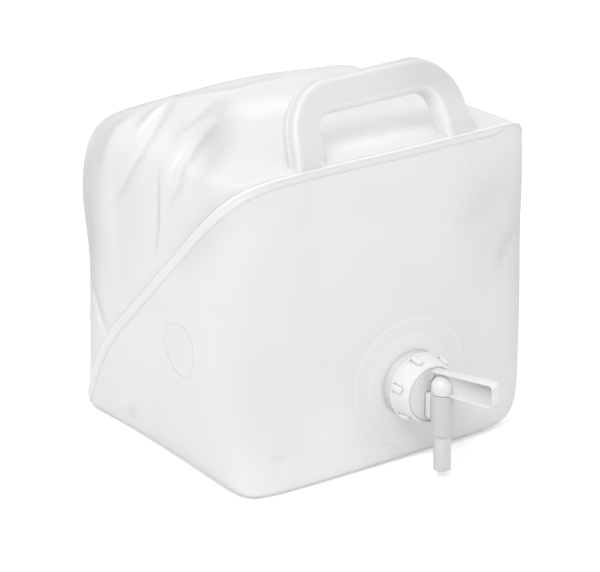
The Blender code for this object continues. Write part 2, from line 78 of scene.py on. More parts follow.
def new_object(name, data):
    """A new object with this data, linked to the scene."""
    made = bpy.data.objects.new(name, data)
    bpy.context.scene.collection.objects.link(made)
    return made


def look_at(thing, target):
    """Turn a camera or a lamp, which both look along their own -Z, towards a point."""
    thing.rotation_euler = (target - thing.location).to_track_quat("-Z", "Y").to_euler()


camera_data = bpy.data.cameras.new("camera")
camera_data.lens, camera_data.sensor_width = CAMERA_LENS, CAMERA_SENSOR
camera = new_object("camera", camera_data)
level_part = math.cos(CAMERA_RISE)
towards_camera = Vector((math.sin(CAMERA_TURN) * level_part, -math.cos(CAMERA_TURN) * level_part,
                         math.sin(CAMERA_RISE)))
camera.location = MIDDLE + towards_camera * CAMERA_DISTANCE
look_at(camera, CAMERA_AIM)
bpy.context.scene.camera = camera
print("camera at", [round(c, 3) for c in camera.location])

# %% [markdown]
# Lights and materials are both built from shader nodes. These helpers make a
# node in one line, so that the cells below read as a list of what feeds what.

# %% Shader nodes
def feed(node, inputs):
    """Give each input a value, or a link where a socket is given."""
    for name, value in dict(inputs).items():
        if isinstance(value, bpy.types.NodeSocket):
            node.id_data.links.new(value, node.inputs[name])
        else:
            node.inputs[name].default_value = value
    return node


def add_node(tree, kind, inputs=(), **settings):
    """A new shader node with these settings and these inputs, by name or by number."""
    node = tree.nodes.new("ShaderNode" + kind)
    for name, value in settings.items():
        setattr(node, name, value)
    return feed(node, inputs)


def worked_out(tree, operation, *inputs):
    """What a Math node makes of its inputs."""
    return add_node(tree, "Math", dict(enumerate(inputs)), operation=operation).outputs[0]


# %% [markdown]
# Soft studio light: one large lamp above and to the left, a weak one from the
# front, and a pale world. The world is white to the camera and to reflections
# and dimmer as a light, so that the white film keeps its shading.

# %% Lights
WORLD_LIGHT, WORLD_SEEN = 0.93, 1.0


def soft_lamp(name, place, size, power):
    """A round area lamp that shines on the middle of the carrier."""
    data = bpy.data.lights.new(name, "AREA")
    data.shape, data.size, data.energy = "DISK", size, power
    lamp = new_object(name, data)
    lamp.location = place
    look_at(lamp, MIDDLE)


soft_lamp("key", place=(-1.80, -1.15, 2.75), size=1.3, power=36)
soft_lamp("fill", place=(0.6, -3.0, 1.0), size=2.0, power=2)

world = bpy.data.worlds.new("studio")
bpy.context.scene.world = world
world.use_nodes = True
tree = world.node_tree
rays = add_node(tree, "LightPath").outputs
seen = worked_out(tree, "MAXIMUM", rays["Is Camera Ray"], rays["Is Glossy Ray"])
seen = worked_out(tree, "MAXIMUM", seen, rays["Is Transmission Ray"])
level = add_node(tree, "MapRange", {"Value": seen, "To Min": WORLD_LIGHT, "To Max": WORLD_SEEN})
feed(tree.nodes["Background"], {"Color": (1, 1, 1, 1), "Strength": level.outputs["Result"]})
bpy.context.scene.view_settings.view_transform = "Standard"
print("lamps", [lamp.name for lamp in bpy.data.lights])

# %% [markdown]
# The floor is a plain pale sheet. Its own colour is a little under white, and
# it adds a touch of light for the camera alone, so that it reads as the white
# background while the carrier's shadow still shows on it.

# %% Floor
FLOOR_SIZE, FLOOR_DROP, FLOOR_GREY, FLOOR_GLOW = 20, 0.0005, 0.84, 0.36


def as_mesh(bm, name):
    """The shape under construction as a mesh."""
    mesh = bpy.data.meshes.new(name)
    bm.to_mesh(mesh)
    bm.free()
    return mesh


sheet = bmesh.new()
bmesh.ops.create_grid(sheet, x_segments=2, y_segments=2, size=FLOOR_SIZE)
floor = new_object("floor", as_mesh(sheet, "floor"))
floor.location = (0, 0, -FLOOR_DROP)
paper = bpy.data.materials.new("paper")
paper.use_nodes = True
tree = paper.node_tree
glow = worked_out(tree, "MULTIPLY", add_node(tree, "LightPath").outputs["Is Camera Ray"], FLOOR_GLOW)
feed(tree.nodes["Principled BSDF"], {
    "Base Color": (FLOOR_GREY, FLOOR_GREY, FLOOR_GREY, 1), "Roughness": 0.9, "Specular IOR Level": 0.0,
    "Emission Color": (1, 1, 1, 1), "Emission Strength": glow})
floor.data.materials.append(paper)
print("floor", FLOOR_SIZE, "metres either way")

# %% [markdown]
# Every finish here is moulded plastic or rubber, which is never quite even.
# One node group gives all of them their slow change of tone and their fine
# surface: it puts out a colour, a roughness and the height of a bump. A flat
# colour would be quicker but looks like paint. The pattern reads Object
# coordinates, so it stays on a piece when the piece moves.

# %% Shared grain
WHITE = (1, 1, 1, 1)


def new_group(name, inputs, outputs):
    """An empty node group with named sockets: a colour where the value is a tuple, else a number."""
    group = bpy.data.node_groups.new(name, "ShaderNodeTree")
    for in_out, sockets in (("INPUT", inputs), ("OUTPUT", outputs)):
        for label, value in sockets.items():
            kind = "NodeSocketColor" if isinstance(value, tuple) else "NodeSocketFloat"
            group.interface.new_socket(label, in_out=in_out, socket_type=kind).default_value = value
    return group, group.nodes.new("NodeGroupInput").outputs, group.nodes.new("NodeGroupOutput")


def grain_group():
    """Slow clouds between two colours and two roughnesses, and a fine grain as a height."""
    group, given, result = new_group(
        "moulded_grain",
        {"Colour": WHITE, "Shade": WHITE, "Cloud size": 12.0, "Grain size": 900.0, "Relief": 0.1,
         "Smooth": 0.3, "Rough": 0.45},
        {"Colour": WHITE, "Roughness": 0.5, "Height": 0.0})
    where = add_node(group, "TexCoord").outputs["Object"]
    cloud = add_node(group, "TexNoise", {"Vector": where, "Scale": given["Cloud size"], "Detail": 3})
    grain = add_node(group, "TexNoise", {"Vector": where, "Scale": given["Grain size"], "Detail": 2})
    spread = add_node(group, "MapRange", {"Value": cloud.outputs["Fac"], "From Min": 0.35, "From Max": 0.65})
    share = spread.outputs["Result"]
    # a Mix node keeps its numbers in sockets 2 and 3 and its colours in 6 and 7
    tone = add_node(group, "Mix", {"Factor": share, 6: given["Colour"], 7: given["Shade"]}, data_type="RGBA")
    rough = add_node(group, "Mix", {"Factor": share, 2: given["Smooth"], 3: given["Rough"]})
    height = worked_out(group, "MULTIPLY", grain.outputs["Fac"], given["Relief"])
    feed(result, {"Colour": tone.outputs[2], "Roughness": rough.outputs[0], "Height": height})
    return group


moulded_grain = grain_group()
print("grain group with", len(moulded_grain.nodes), "nodes")

# %% [markdown]
# Two more groups scale a colour. One reads a tone that is kept on the mesh:
# painted shade and painted light on folds, edges and parts. The other paints
# shade into corners and grooves, by how much open air a point has round it.

# %% Shade groups
def shade_group(name, limits, reading):
    """A group that scales its colour by a reading of the surface, spread between limits."""
    group, given, result = new_group(name, {"Colour": WHITE, **limits}, {"Colour": WHITE})
    amount = add_node(group, "MapRange", reading(group, given)).outputs["Result"]
    scale = add_node(group, "VectorMath", {0: given["Colour"], "Scale": amount}, operation="SCALE")
    feed(result, {"Colour": scale.outputs["Vector"]})
    return group


def kept_tone(group, given):
    """The painted tone kept on the mesh, spread from painted shade to painted light."""
    tone = add_node(group, "Attribute", attribute_name="painted_tone").outputs["Fac"]
    return {"Value": tone, "From Min": -1, "To Min": given["Dense"], "To Max": given["Thin"]}


def open_air(group, given):
    """The open air within reach of a point, spread from the darkest shade to none."""
    air = add_node(group, "AmbientOcclusion", {"Distance": given["Reach"]}).outputs["AO"]
    return {"Value": air, "From Min": 0.25, "From Max": 0.85, "To Min": given["Darkest"]}


# painted shade and painted light, read from the tone kept on the mesh
painted_shade_and_light = shade_group("painted_shade_and_light", {"Dense": 0.72, "Thin": 1.14}, kept_tone)
# painted shade in corners and grooves, deeper where less open air is round a point
recess_shade = shade_group("recess_shade", {"Reach": 0.004, "Darkest": 0.5}, open_air)
print("shade groups", painted_shade_and_light.name, recess_shade.name)

# %% [markdown]
# The finishes are put together from the same few steps: a plastic with its
# grain, a shade group in front of its colour, a little light let through, and
# for the container a ring that is pressed into its left wall. The film could be
# made fully translucent, but then its folds would lose their shading.

# %% Finish steps
def plastic(name, colour, shade, roughness, relief=0.1, cloud=12.0, grain=900.0):
    """A moulded finish whose colour and roughness each drift between two values."""
    made = bpy.data.materials.new(name)
    made.use_nodes = True
    tree = made.node_tree
    surface = add_node(tree, "Group", {
        "Colour": (*colour, 1), "Shade": (*shade, 1), "Smooth": roughness[0], "Rough": roughness[1],
        "Relief": relief, "Cloud size": cloud, "Grain size": grain}, node_tree=moulded_grain).outputs
    bump = add_node(tree, "Bump", {"Height": surface["Height"], "Strength": 0.3, "Distance": 0.0005})
    feed(tree.nodes["Principled BSDF"], {
        "Base Color": surface["Colour"], "Roughness": surface["Roughness"], "Normal": bump.outputs["Normal"]})
    return made


def shader_of(material):
    """The material's nodes, its main shader, and what feeds that shader's colour and normal."""
    shader = material.node_tree.nodes["Principled BSDF"]
    colour, normal = (shader.inputs[name].links[0].from_socket for name in ("Base Color", "Normal"))
    return material.node_tree, shader, colour, normal


def shaded(material, group, **limits):
    """Put a shade group in front of the shader's colour."""
    tree, shader, colour, _ = shader_of(material)
    shade = add_node(tree, "Group", {"Colour": colour, **limits}, node_tree=group)
    feed(shader, {"Base Color": shade.outputs["Colour"]})


def let_light_through(material, share):
    """Mix in a translucent shader of the same colour, as light passes through thin film."""
    tree, shader, colour, normal = shader_of(material)
    through = add_node(tree, "BsdfTranslucent", {"Color": colour, "Normal": normal})
    both = add_node(tree, "MixShader", {"Fac": share, 1: shader.outputs[0], 2: through.outputs[0]})
    feed(tree.nodes["Material Output"], {"Surface": both.outputs[0]})


def pressed_ring(material, centre, radius, width, depth, left_of):
    """A moulded ring on the left wall, bumped from the distance to its centre."""
    tree, shader, _, normal = shader_of(material)
    spot = add_node(tree, "SeparateXYZ", {0: add_node(tree, "TexCoord").outputs["Object"]}).outputs
    flat = add_node(tree, "CombineXYZ", {"Y": spot["Y"], "Z": spot["Z"]})
    away = add_node(tree, "VectorMath", {0: flat.outputs[0], 1: (0, *centre)}, operation="DISTANCE")
    line = worked_out(tree, "ABSOLUTE", worked_out(tree, "SUBTRACT", away.outputs["Value"], radius))
    rise = add_node(tree, "MapRange", {"Value": line, "From Max": width, "To Min": 1, "To Max": 0},
                    interpolation_type="SMOOTHSTEP")
    side = worked_out(tree, "LESS_THAN", spot["X"], left_of)
    mask = worked_out(tree, "MULTIPLY", rise.outputs["Result"], side)
    bump = add_node(tree, "Bump", {"Height": mask, "Distance": depth, "Normal": normal})
    feed(shader, {"Normal": bump.outputs["Normal"]})


# %% [markdown]
# The carrier's finishes. The container, its weld and its handle are the same
# milky film in different thickness; the handle's copy is darker, as painted
# shade. The neck, the collar and the tap are a firmer and glossier white plastic,
# the neck's darker as painted shade and the collar's lighter as painted light,
# and the washer is grey rubber.

# %% Materials
FILM_GRAIN = {"relief": 0.05, "cloud": 9, "grain": 300}
# how far painted shade darkens the film and painted light brightens it
FILM_SHADE = {"Dense": 0.72, "Thin": 1.14}

film = plastic("milky_film", (0.902, 0.905, 0.902), (0.878, 0.883, 0.881), (0.32, 0.42), **FILM_GRAIN)
pressed_ring(film, centre=(-0.038, 0.1095), radius=0.0235, width=0.0022, depth=0.0005, left_of=-0.12)
weld_film = plastic("weld_film", (0.822, 0.825, 0.822), (0.81, 0.815, 0.812), (0.30, 0.38), **FILM_GRAIN)
# the handle's copy of the film is darker, as painted shade
handle_film = plastic("handle_film", (0.815, 0.818, 0.815), (0.80, 0.805, 0.803), (0.30, 0.40),
                      **{**FILM_GRAIN, "cloud": 14})
for made in (film, weld_film, handle_film):
    shaded(made, painted_shade_and_light, **FILM_SHADE)
let_light_through(film, share=0.12)
let_light_through(handle_film, share=0.15)

# the neck's grey is darker, as painted shade
neck_plastic = plastic("neck_plastic", (0.70, 0.70, 0.695), (0.68, 0.68, 0.675), (0.28, 0.38))
shaded(neck_plastic, recess_shade, Reach=0.004, Darkest=0.75)
# the collar's grey is lighter, as painted light
collar_plastic = plastic("collar_plastic", (0.79, 0.79, 0.785), (0.765, 0.765, 0.76), (0.20, 0.30))
shaded(collar_plastic, recess_shade, Reach=0.0025, Darkest=0.35)
white_plastic = plastic("white_plastic", (0.745, 0.745, 0.74), (0.73, 0.73, 0.725), (0.22, 0.32))
shaded(white_plastic, recess_shade, Reach=0.0022, Darkest=0.45)
shaded(white_plastic, painted_shade_and_light, Dense=0.60, Thin=1.18)
rubber = plastic("washer_rubber", (0.62, 0.62, 0.60), (0.55, 0.55, 0.53), (0.6, 0.75))
print("materials", [m.name for m in bpy.data.materials])

# %% [markdown]
# Helpers for all pieces: one links a finished mesh and lets it ride on a body
# of the model, one draws a line of points and edges, one turns a profile round
# Z, one rounds the corners of an outline, and one bevels edges. Shapes are
# drawn round Z and then carried to the neck's or the lever's axis.

# %% Helpers
NECK_FRAME = Matrix.Translation((NECK_X, FRONT, NECK_Z)) @ Matrix.Rotation(math.radians(90), 4, "X")
LEVER_FRAME = Matrix.Translation((NECK_X, LEVER_Y, 0))


def finish_piece(name, bm, material, body, replaced=(), smooth_angle=None):
    """Make a shape a piece that rides on a body, with sharp edges past an angle in degrees."""
    bmesh.ops.remove_doubles(bm, verts=bm.verts[:], dist=0.000001)
    mesh = as_mesh(bm, name)
    mesh.materials.append(material)
    mesh.shade_smooth()
    if smooth_angle is not None:
        mesh.set_sharp_from_angle(angle=math.radians(smooth_angle))
    piece = new_object(name, mesh)
    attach(piece, body)
    if replaced:
        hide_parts(*replaced)
    print(name, "faces", len(mesh.polygons))
    return piece


def drawn(bm, places, closed=True):
    """The points and edges of a line that is drawn through places."""
    points = [bm.verts.new(p) for p in places]
    onward = points[1:] + points[:1] if closed else points[1:]
    return points, [bm.edges.new(pair) for pair in zip(points, onward)]


def outwards(bm):
    """Turn all faces outwards."""
    bmesh.ops.recalc_face_normals(bm, faces=bm.faces[:])
    return bm


def spun(profile, steps=96, closed=True):
    """A profile of (radius, height) points turned round Z, as a mesh under construction."""
    bm = bmesh.new()
    points, edges = drawn(bm, [(r, 0, z) for r, z in profile], closed)
    bmesh.ops.spin(bm, geom=points + edges, cent=(0, 0, 0), axis=(0, 0, 1), angle=2 * math.pi,
                   steps=steps, use_merge=True)
    bmesh.ops.remove_doubles(bm, verts=bm.verts[:], dist=0.000005)
    return outwards(bm)


def fillet(points, radii, steps=4):
    """The outline with its corners rounded, each by its own radius."""
    result = []
    for n, (point, radius) in enumerate(zip(points, radii)):
        here = Vector(point)
        if radius <= 0:
            result.append(tuple(here))
            continue
        start = here + (Vector(points[n - 1]) - here).normalized() * radius
        end = here + (Vector(points[(n + 1) % len(points)]) - here).normalized() * radius
        for t in (step / steps for step in range(steps + 1)):
            result.append(tuple(start * (1 - t) ** 2 + here * 2 * t * (1 - t) + end * t * t))
    return result


def bevelled(bm, edges, offset, segments):
    """Round off edges, and give back the points that this makes."""
    return bmesh.ops.bevel(bm, geom=edges, offset=offset, segments=segments, profile=0.5, affect="EDGES",
                           material=-1)["verts"]


def only(kind, made):
    """The points or the edges among what an operator made."""
    return [g for g in made if isinstance(g, kind)]


def place(bm, matrix):
    """Carry a shape to its place."""
    bmesh.ops.transform(bm, matrix=matrix, verts=bm.verts[:])
    return bm


print("neck's frame at", [round(c, 4) for c in NECK_FRAME.translation])

# %% [markdown]
# The container is one continuous film, so it is one skin. A coarse cage gives
# its form: from each face of the box, a cage point stands a little way in from
# the edge, and that distance sets how softly the edge is rounded. The other
# numbers are the film's slackness: the top falls off behind, the front wall
# leans out at its foot, and the rear edges flare at the shoulder and draw in
# at the waist. A bevelled box would be simpler, but its edges would all be
# equally round, as they never are on soft film.

# %% Film cage
def film_control(i, j, k):
    """A point of the coarse cage, counted from 0 to 4 from the left, the front and the base."""
    half = WIDTH / 2
    # how far in from the left and the right side the next points stand
    left_side, right_side = (0.070, 0.028) if j < 2 else (0.024, 0.024)
    if k == 4:
        left_side, right_side = (0.052, 0.052) if j > 0 else (0.060, 0.016)
    elif k == 0:
        left_side, right_side = 0.030 if j < 2 else 0.024, 0.056
    x = (-half, left_side - half, 0, half - right_side, half)[i]
    # how far in from the front and the rear
    near, far = 0.011, 0.034
    if i == 0 and k > 0:
        near = 0.066 if k < 4 else 0.046
    elif i == 4 and 0 < k < 4:
        near = 0.026
    y = (FRONT, FRONT + near, 0, -FRONT - far, -FRONT)[j]
    # how far up from the base and down from the top
    base = ((0.014, 0.014) if j < 2 else (0.010, 0.010)) + (0.014, 0.044, 0.044)
    top = (0.016, 0.016, 0.045, 0.074, 0.074)
    z = (0, base[i], HEIGHT / 2, HEIGHT - top[j], HEIGHT)[k]
    # the top: full in the middle, lower at the right front and falling off behind
    if k == 4 and 0 < i < 4 and 1 < j < 4:
        z += 0.004
    if k == 4 and 0 < j < 3 and i > 2:
        z -= 0.006 if i == 4 else 0.003
    if k > 2 and j > 2:
        z -= 0.0035 if i == 2 else 0.0115 + 0.0025 * x / half
    # the foot of the front wall leans out
    if k == 0 and j == 0:
        y -= (0.0075, 0.015, 0.010, 0.009, 0)[i]
    # the sides: flared shoulders and a waist behind, a slight fullness in front
    if i in (0, 4):
        outward = math.copysign(1, x)
        if j == 4:
            x += outward * (0.0065, 0.0065, -0.005, 0.016, 0.004)[k]
        elif k == 4 and j == 0:
            z -= 0.006 if i == 4 else 0.001
        elif j < 2 and k > 0:
            x += outward * 0.0065
        elif k == 2:
            x += outward * 0.003
        elif k == 0 and i == 0 and j == 2:
            x += 0.004
    return Vector((x, y, z))


print("front top left corner of the cage", [round(c, 4) for c in film_control(0, 0, 4)])

# %% [markdown]
# The cage is a cube cut into four strips each way and subdivided six times. The
# front top edge is creased, because there the two halves of the film are welded
# to a lip. The same cube, subdivided without smoothing, tells which strip each
# of the fine points belongs to.

# %% Film form
LEVELS = 6
FINE = 2 ** LEVELS
EDGE_CREASE, CORNER_CREASE = 0.85, 0.1


def cage_places(kind):
    """The cage subdivided either way, as rows of coordinates in the same order."""
    bm = bmesh.new()
    bmesh.ops.create_cube(bm, size=1)
    bmesh.ops.subdivide_edges(bm, edges=bm.edges[:], cuts=3, use_grid_fill=True)
    edge_crease = bm.edges.layers.float.new("crease_edge")
    point_crease = bm.verts.layers.float.new("crease_vert")
    spots = {v: [round((c + 0.5) * 4) for c in v.co] for v in bm.verts}
    for v, (i, j, k) in spots.items():
        v.co = film_control(i, j, k) if kind == "CATMULL_CLARK" else (i, j, k)
        if j == 0 and k == 4 and i in (0, 4):
            v[point_crease] = CORNER_CREASE
    for edge in bm.edges:
        if all(spots[v][1] == 0 and spots[v][2] == 4 for v in edge.verts):
            edge[edge_crease] = EDGE_CREASE
    cage = new_object("film_cage", as_mesh(bm, "film_cage"))
    soften = cage.modifiers.new("Soften", "SUBSURF")
    soften.subdivision_type = kind
    soften.levels = soften.render_levels = LEVELS
    bpy.context.view_layer.update()
    fine = cage.evaluated_get(bpy.context.evaluated_depsgraph_get()).to_mesh()
    places = np.empty(len(fine.vertices) * 3)
    fine.vertices.foreach_get("co", places)
    bpy.data.objects.remove(cage)
    return places.reshape(-1, 3)


form = cage_places("CATMULL_CLARK")
spots = np.rint(cage_places("SIMPLE") * FINE).astype(int)
print("fine points", len(form), "spots", spots.min(), "to", spots.max())

# %% [markdown]
# Folds need faces about 2 mm wide, but only where the folds are. So the skin
# is a cube again, cut along each axis at chosen strips: close together on the
# rear left and near the top, further apart where the film is smooth. Each
# point then takes its place from the fine form. The fine form itself would do
# too, but it has several times as many faces as the folds need.

# %% Film skin
# how many cuts each quarter of an axis gets, from the left, the front and the base
CUTS_X, CUTS_Y, CUTS_Z = (32, 32, 16, 16), (16, 32, 64, 16), (8, 32, 64, 32)


def chosen(cuts):
    """The fine strips that are kept along one axis."""
    kept = [0]
    for quarter, count in enumerate(cuts):
        kept += [quarter * FINE + FINE * (n + 1) // count for n in range(count)]
    return kept


def film_mesh():
    """The skin before it is folded."""
    bm = bmesh.new()
    bmesh.ops.create_cube(bm, size=1)
    kept = [chosen(cuts) for cuts in (CUTS_X, CUTS_Y, CUTS_Z)]
    for axis in range(3):
        along = [e for e in bm.edges if abs(e.verts[0].co[axis] - e.verts[1].co[axis]) > 0.5]
        bmesh.ops.subdivide_edges(bm, edges=along, cuts=len(kept[axis]) - 2, use_grid_fill=True)
    place_of = dict(zip(map(tuple, spots.tolist()), form.tolist()))
    for v in bm.verts:
        v.co = place_of[tuple(kept[n][round((v.co[n] + 0.5) * (len(kept[n]) - 1))] for n in range(3))]
    return as_mesh(outwards(bm), "film_skin_form")


skin = film_mesh()
print("film faces", len(skin.polygons))

# %% [markdown]
# The seam is the line where the two halves of the film meet. It runs along the
# front top edge, slants down both sides and passes under the rear edge. A
# straight slope that bends down near its foot describes it from the side.

# %% Seam surface
# the slope, how many times steeper it is behind the foot, and the depths of the bend and the foot
SLOPE, FOOT_STEEPER, BEND_AT, FOOT_AT = 0.97, 8, 0.060, 0.119
SEAM_TOP = Vector((FRONT, HEIGHT - 0.002))
SEAM_BEND = Vector((BEND_AT, SEAM_TOP.y - SLOPE * (BEND_AT - FRONT)))
SEAM_FOOT = Vector((FOOT_AT, 0.0))


def seam_height(y):
    """How high the seam's surface is at a depth, in the YZ plane."""
    if y <= SEAM_BEND.x:
        return SEAM_TOP.y - SLOPE * (y - SEAM_TOP.x)
    if y >= SEAM_FOOT.x:
        return -SLOPE * FOOT_STEEPER * (y - SEAM_FOOT.x)
    # between them, a curve with one control point a quarter of the way back from the foot
    knee_y = (SEAM_BEND.x + SEAM_FOOT.x * 3) / 4
    knee_z = SEAM_BEND.y - SLOPE * (knee_y - SEAM_BEND.x)
    a = SEAM_BEND.x - 2 * knee_y + SEAM_FOOT.x
    b = 2 * (knee_y - SEAM_BEND.x)
    t = (-b + math.sqrt(b * b - 4 * a * (SEAM_BEND.x - y))) / (2 * a)
    return SEAM_BEND.y * (1 - t) ** 2 + 2 * knee_z * t * (1 - t) + SEAM_FOOT.y * t * t


print("seam height from front to rear", [round(seam_height(y), 3) for y in (FRONT, 0, BEND_AT, FOOT_AT)])

# %% [markdown]
# A used carrier keeps the marks of being folded. Each fold is a line of points
# on the skin with a height and two widths: the film rises gently on one side of
# the line and falls quickly on the other, as a pleat does. It also has a tone on
# either side, which the finish reads: painted shade on the flank that turns from
# the light and painted light on the flank that faces it. A cloth simulation
# could crumple the film too, but its folds would lie elsewhere.

# %% Fold shapes
# in millimetres: points, height, width on the left and on the right of the line; then sharpness from 1,
# a crest, to 2, round, and tone on the left and on the right, from -1, painted shade, to 1, painted light
FOLDS = [
    # long pleat from the top to the left wall
    ([(-59.8, 101.3, 273.5), (-86.4, 72.3, 276.1), (-113, 43.2, 276.2), (-131.7, 26.3, 270.3),
      (-138.7, 27.8, 260.7), (-141.1, 36.7, 249.5), (-143.1, 49.9, 227.8), (-144, 67.9, 206.9)],
     2.9, 5.5, 11, 1.4, -0.8, 0.25),
    # second pleat, nearer the seam
    ([(-69.8, 19.2, 280.9), (-89.2, 0.2, 281), (-111.5, -18.9, 280.2), (-138.3, -42.2, 273.8),
      (-145.8, -41.5, 257.7), (-145.2, -17.2, 227.7)], 2.9, 5, 11, 1.4, -0.8, 0.25),
    # thin pleat between them
    ([(-37.5, 57.8, 279.4), (-65.3, 39.9, 279.8), (-88.3, 23, 280), (-106.6, 11.4, 279.4),
      (-124.8, 4.7, 276.5)], 1.6, 4, 4.5, 1.5, -0.6, -0.5),
    # groove above the long pleat
    ([(-75.5, 89.4, 274.9), (-98.2, 78.9, 274.7), (-115.1, 67.9, 273.5), (-127.9, 58.7, 269.2)],
     -1.6, 3, 4, 2, -0.7, -0.7),
    # upright crease in the left wall
    ([(-141.1, -2.1, 261.8), (-143.4, -1.7, 248.9), (-144.2, -1.8, 234), (-144.6, -2, 216.4),
      (-144.8, -1.3, 198.3), (-145, 2.7, 176.4)], -1.5, 2.2, 2.6, 2, -0.8, -0.9),
    # hollow beside the second pleat
    ([(-53.3, 21.5, 281.2), (-94.3, -25.9, 281.3), (-131.5, -64.8, 277.8), (-147, -73.5, 262.1)],
     -2.6, 10, 12, 2, -0.35, -0.35),
    # hollow between the pleats
    ([(-78.9, 46.7, 278.8), (-106.8, 18.8, 278.9), (-130.3, -2.3, 274.5), (-139.7, 1.6, 264.7)],
     -1.5, 6, 7, 2, -0.2, -0.3),
    # crease at the rear top corner
    ([(-144.3, 90.5, 233.1), (-141.2, 90.3, 247.8), (-135.6, 89.3, 259.5), (-120.9, 87.3, 269.6),
      (-111.1, 86.9, 272.2)], -1.6, 4, 5, 2, -0.6, -0.6),
    # edge where the top turns down behind
    ([(-89.4, 96, 273), (-74.4, 87.9, 275.1), (-46.5, 75, 277.8), (-21.6, 69.6, 278.9), (10.2, 74.5, 278.1),
      (47.6, 78, 275.8)], 1.3, 12, 4, 1.5, -0.7, 0.2),
    # turned edge at the foot of the left wall
    ([(-141.6, 111.3, 117), (-143.2, 101.2, 101.4), (-143.8, 92.6, 86.9), (-145.7, 81.8, 75.4)],
     -1.6, 8, 3, 2, -0.7, 0.5),
    # long low ridge of the left wall
    ([(-143.8, 77.2, 226.4), (-144.4, 71, 187.9), (-144.4, 70.5, 147.1), (-144.3, 63.7, 112.8)],
     1, 9, 9, 2, 0.15, 0.15),
    # painted light on the side of the second pleat
    ([(-118, -13.9, 279.1), (-128.9, -21.6, 276.8), (-139.9, -26.4, 270.1), (-143.9, -21.7, 259.8),
      (-144.3, -14.6, 249.6)], 0, 4, 5, 2, 0.5, 0.5),
    # dip at the end of the thin pleat, with painted shade
    ([(-36.6, 53, 279.7), (-53.8, 36, 280.4), (-74.4, 16.7, 280.8)], -0.8, 5, 5, 2, -0.35, -0.35),
    # slack hollow near the right edge
    ([(116.1, -122.4, 229.5), (103.9, -122.5, 212.4), (89.7, -122.5, 197.6), (79.6, -122.5, 183.6)],
     -1.2, 12, 16, 2, -0.2, -0.2),
    # short crease at the right edge
    ([(137, -120.8, 181), (129, -122, 172.3), (121.7, -122.3, 159.5), (116.7, -122.4, 146.2)],
     -0.9, 4.5, 6.5, 2, -0.35, -0.35),
    # short ridge at the front foot
    ([(-121.7, -122.1, 25.7), (-112.8, -123.6, 28.5), (-101.2, -124.2, 31.2), (-93.3, -124.4, 33.8)],
     0.9, 3.5, 3.5, 2, -0.35, 0.5),
    # second short ridge at the front foot
    ([(-143.8, -101.7, 51.7), (-140.6, -107.4, 47.6), (-137.1, -112.5, 43.2), (-132.5, -116, 37.9)],
     0.7, 3, 3, 2, -0.3, 0.4),
    # crumpled film at the left foot
    ([(-143.1, 68, 24.8), (-142.8, 55.7, 24.6), (-142.5, 44.9, 21.9), (-142.3, 35.8, 17.8)],
     1, 3, 3, 2, -0.5, 0.5),
    # painted shade round the left rear edge and its corner
    ([(-140, 118, 20), (-144, 116, 70), (-141, 116, 140), (-146, 110, 200), (-146, 98, 240), (-128, 95, 264),
      (-80, 98, 272)], 0, 18, 16, 2, -0.6, -0.5),
    # painted shade along the rear top edge
    ([(-146, 90, 236), (-134, 100, 260), (-85, 104, 270.5), (0, 107, 272), (80, 104, 270)],
     0, 11, 12, 2, -0.8, -0.8),
    # painted shade round the right rear edge
    ([(140, 118, 20), (144, 116, 70), (141, 116, 140), (146, 110, 200), (146, 98, 240), (128, 95, 260),
      (80, 98, 270)], 0, 16, 14, 2, -0.5, -0.5),
    # crease in the right wall
    ([(144, 30, 262), (145, 20, 220), (145, 28, 150)], -1.4, 3, 3, 2, -0.6, -0.6),
    # soft pleat from the top to the right wall
    ([(100, 60, 276), (128, 30, 272), (142, 45, 245), (144, 70, 205)], 2.6, 11, 9, 1.6, 0.3, -0.5),
    # upper fold of the rear wall
    ([(-80, 121, 205), (-20, 122, 165), (50, 122, 175)], 2.2, 12, 6, 1.5, 0.3, -0.5),
    # lower fold of the rear wall
    ([(90, 121, 80), (30, 122, 60), (-40, 122, 75)], 1.6, 10, 6, 1.5, 0.3, -0.5),
]
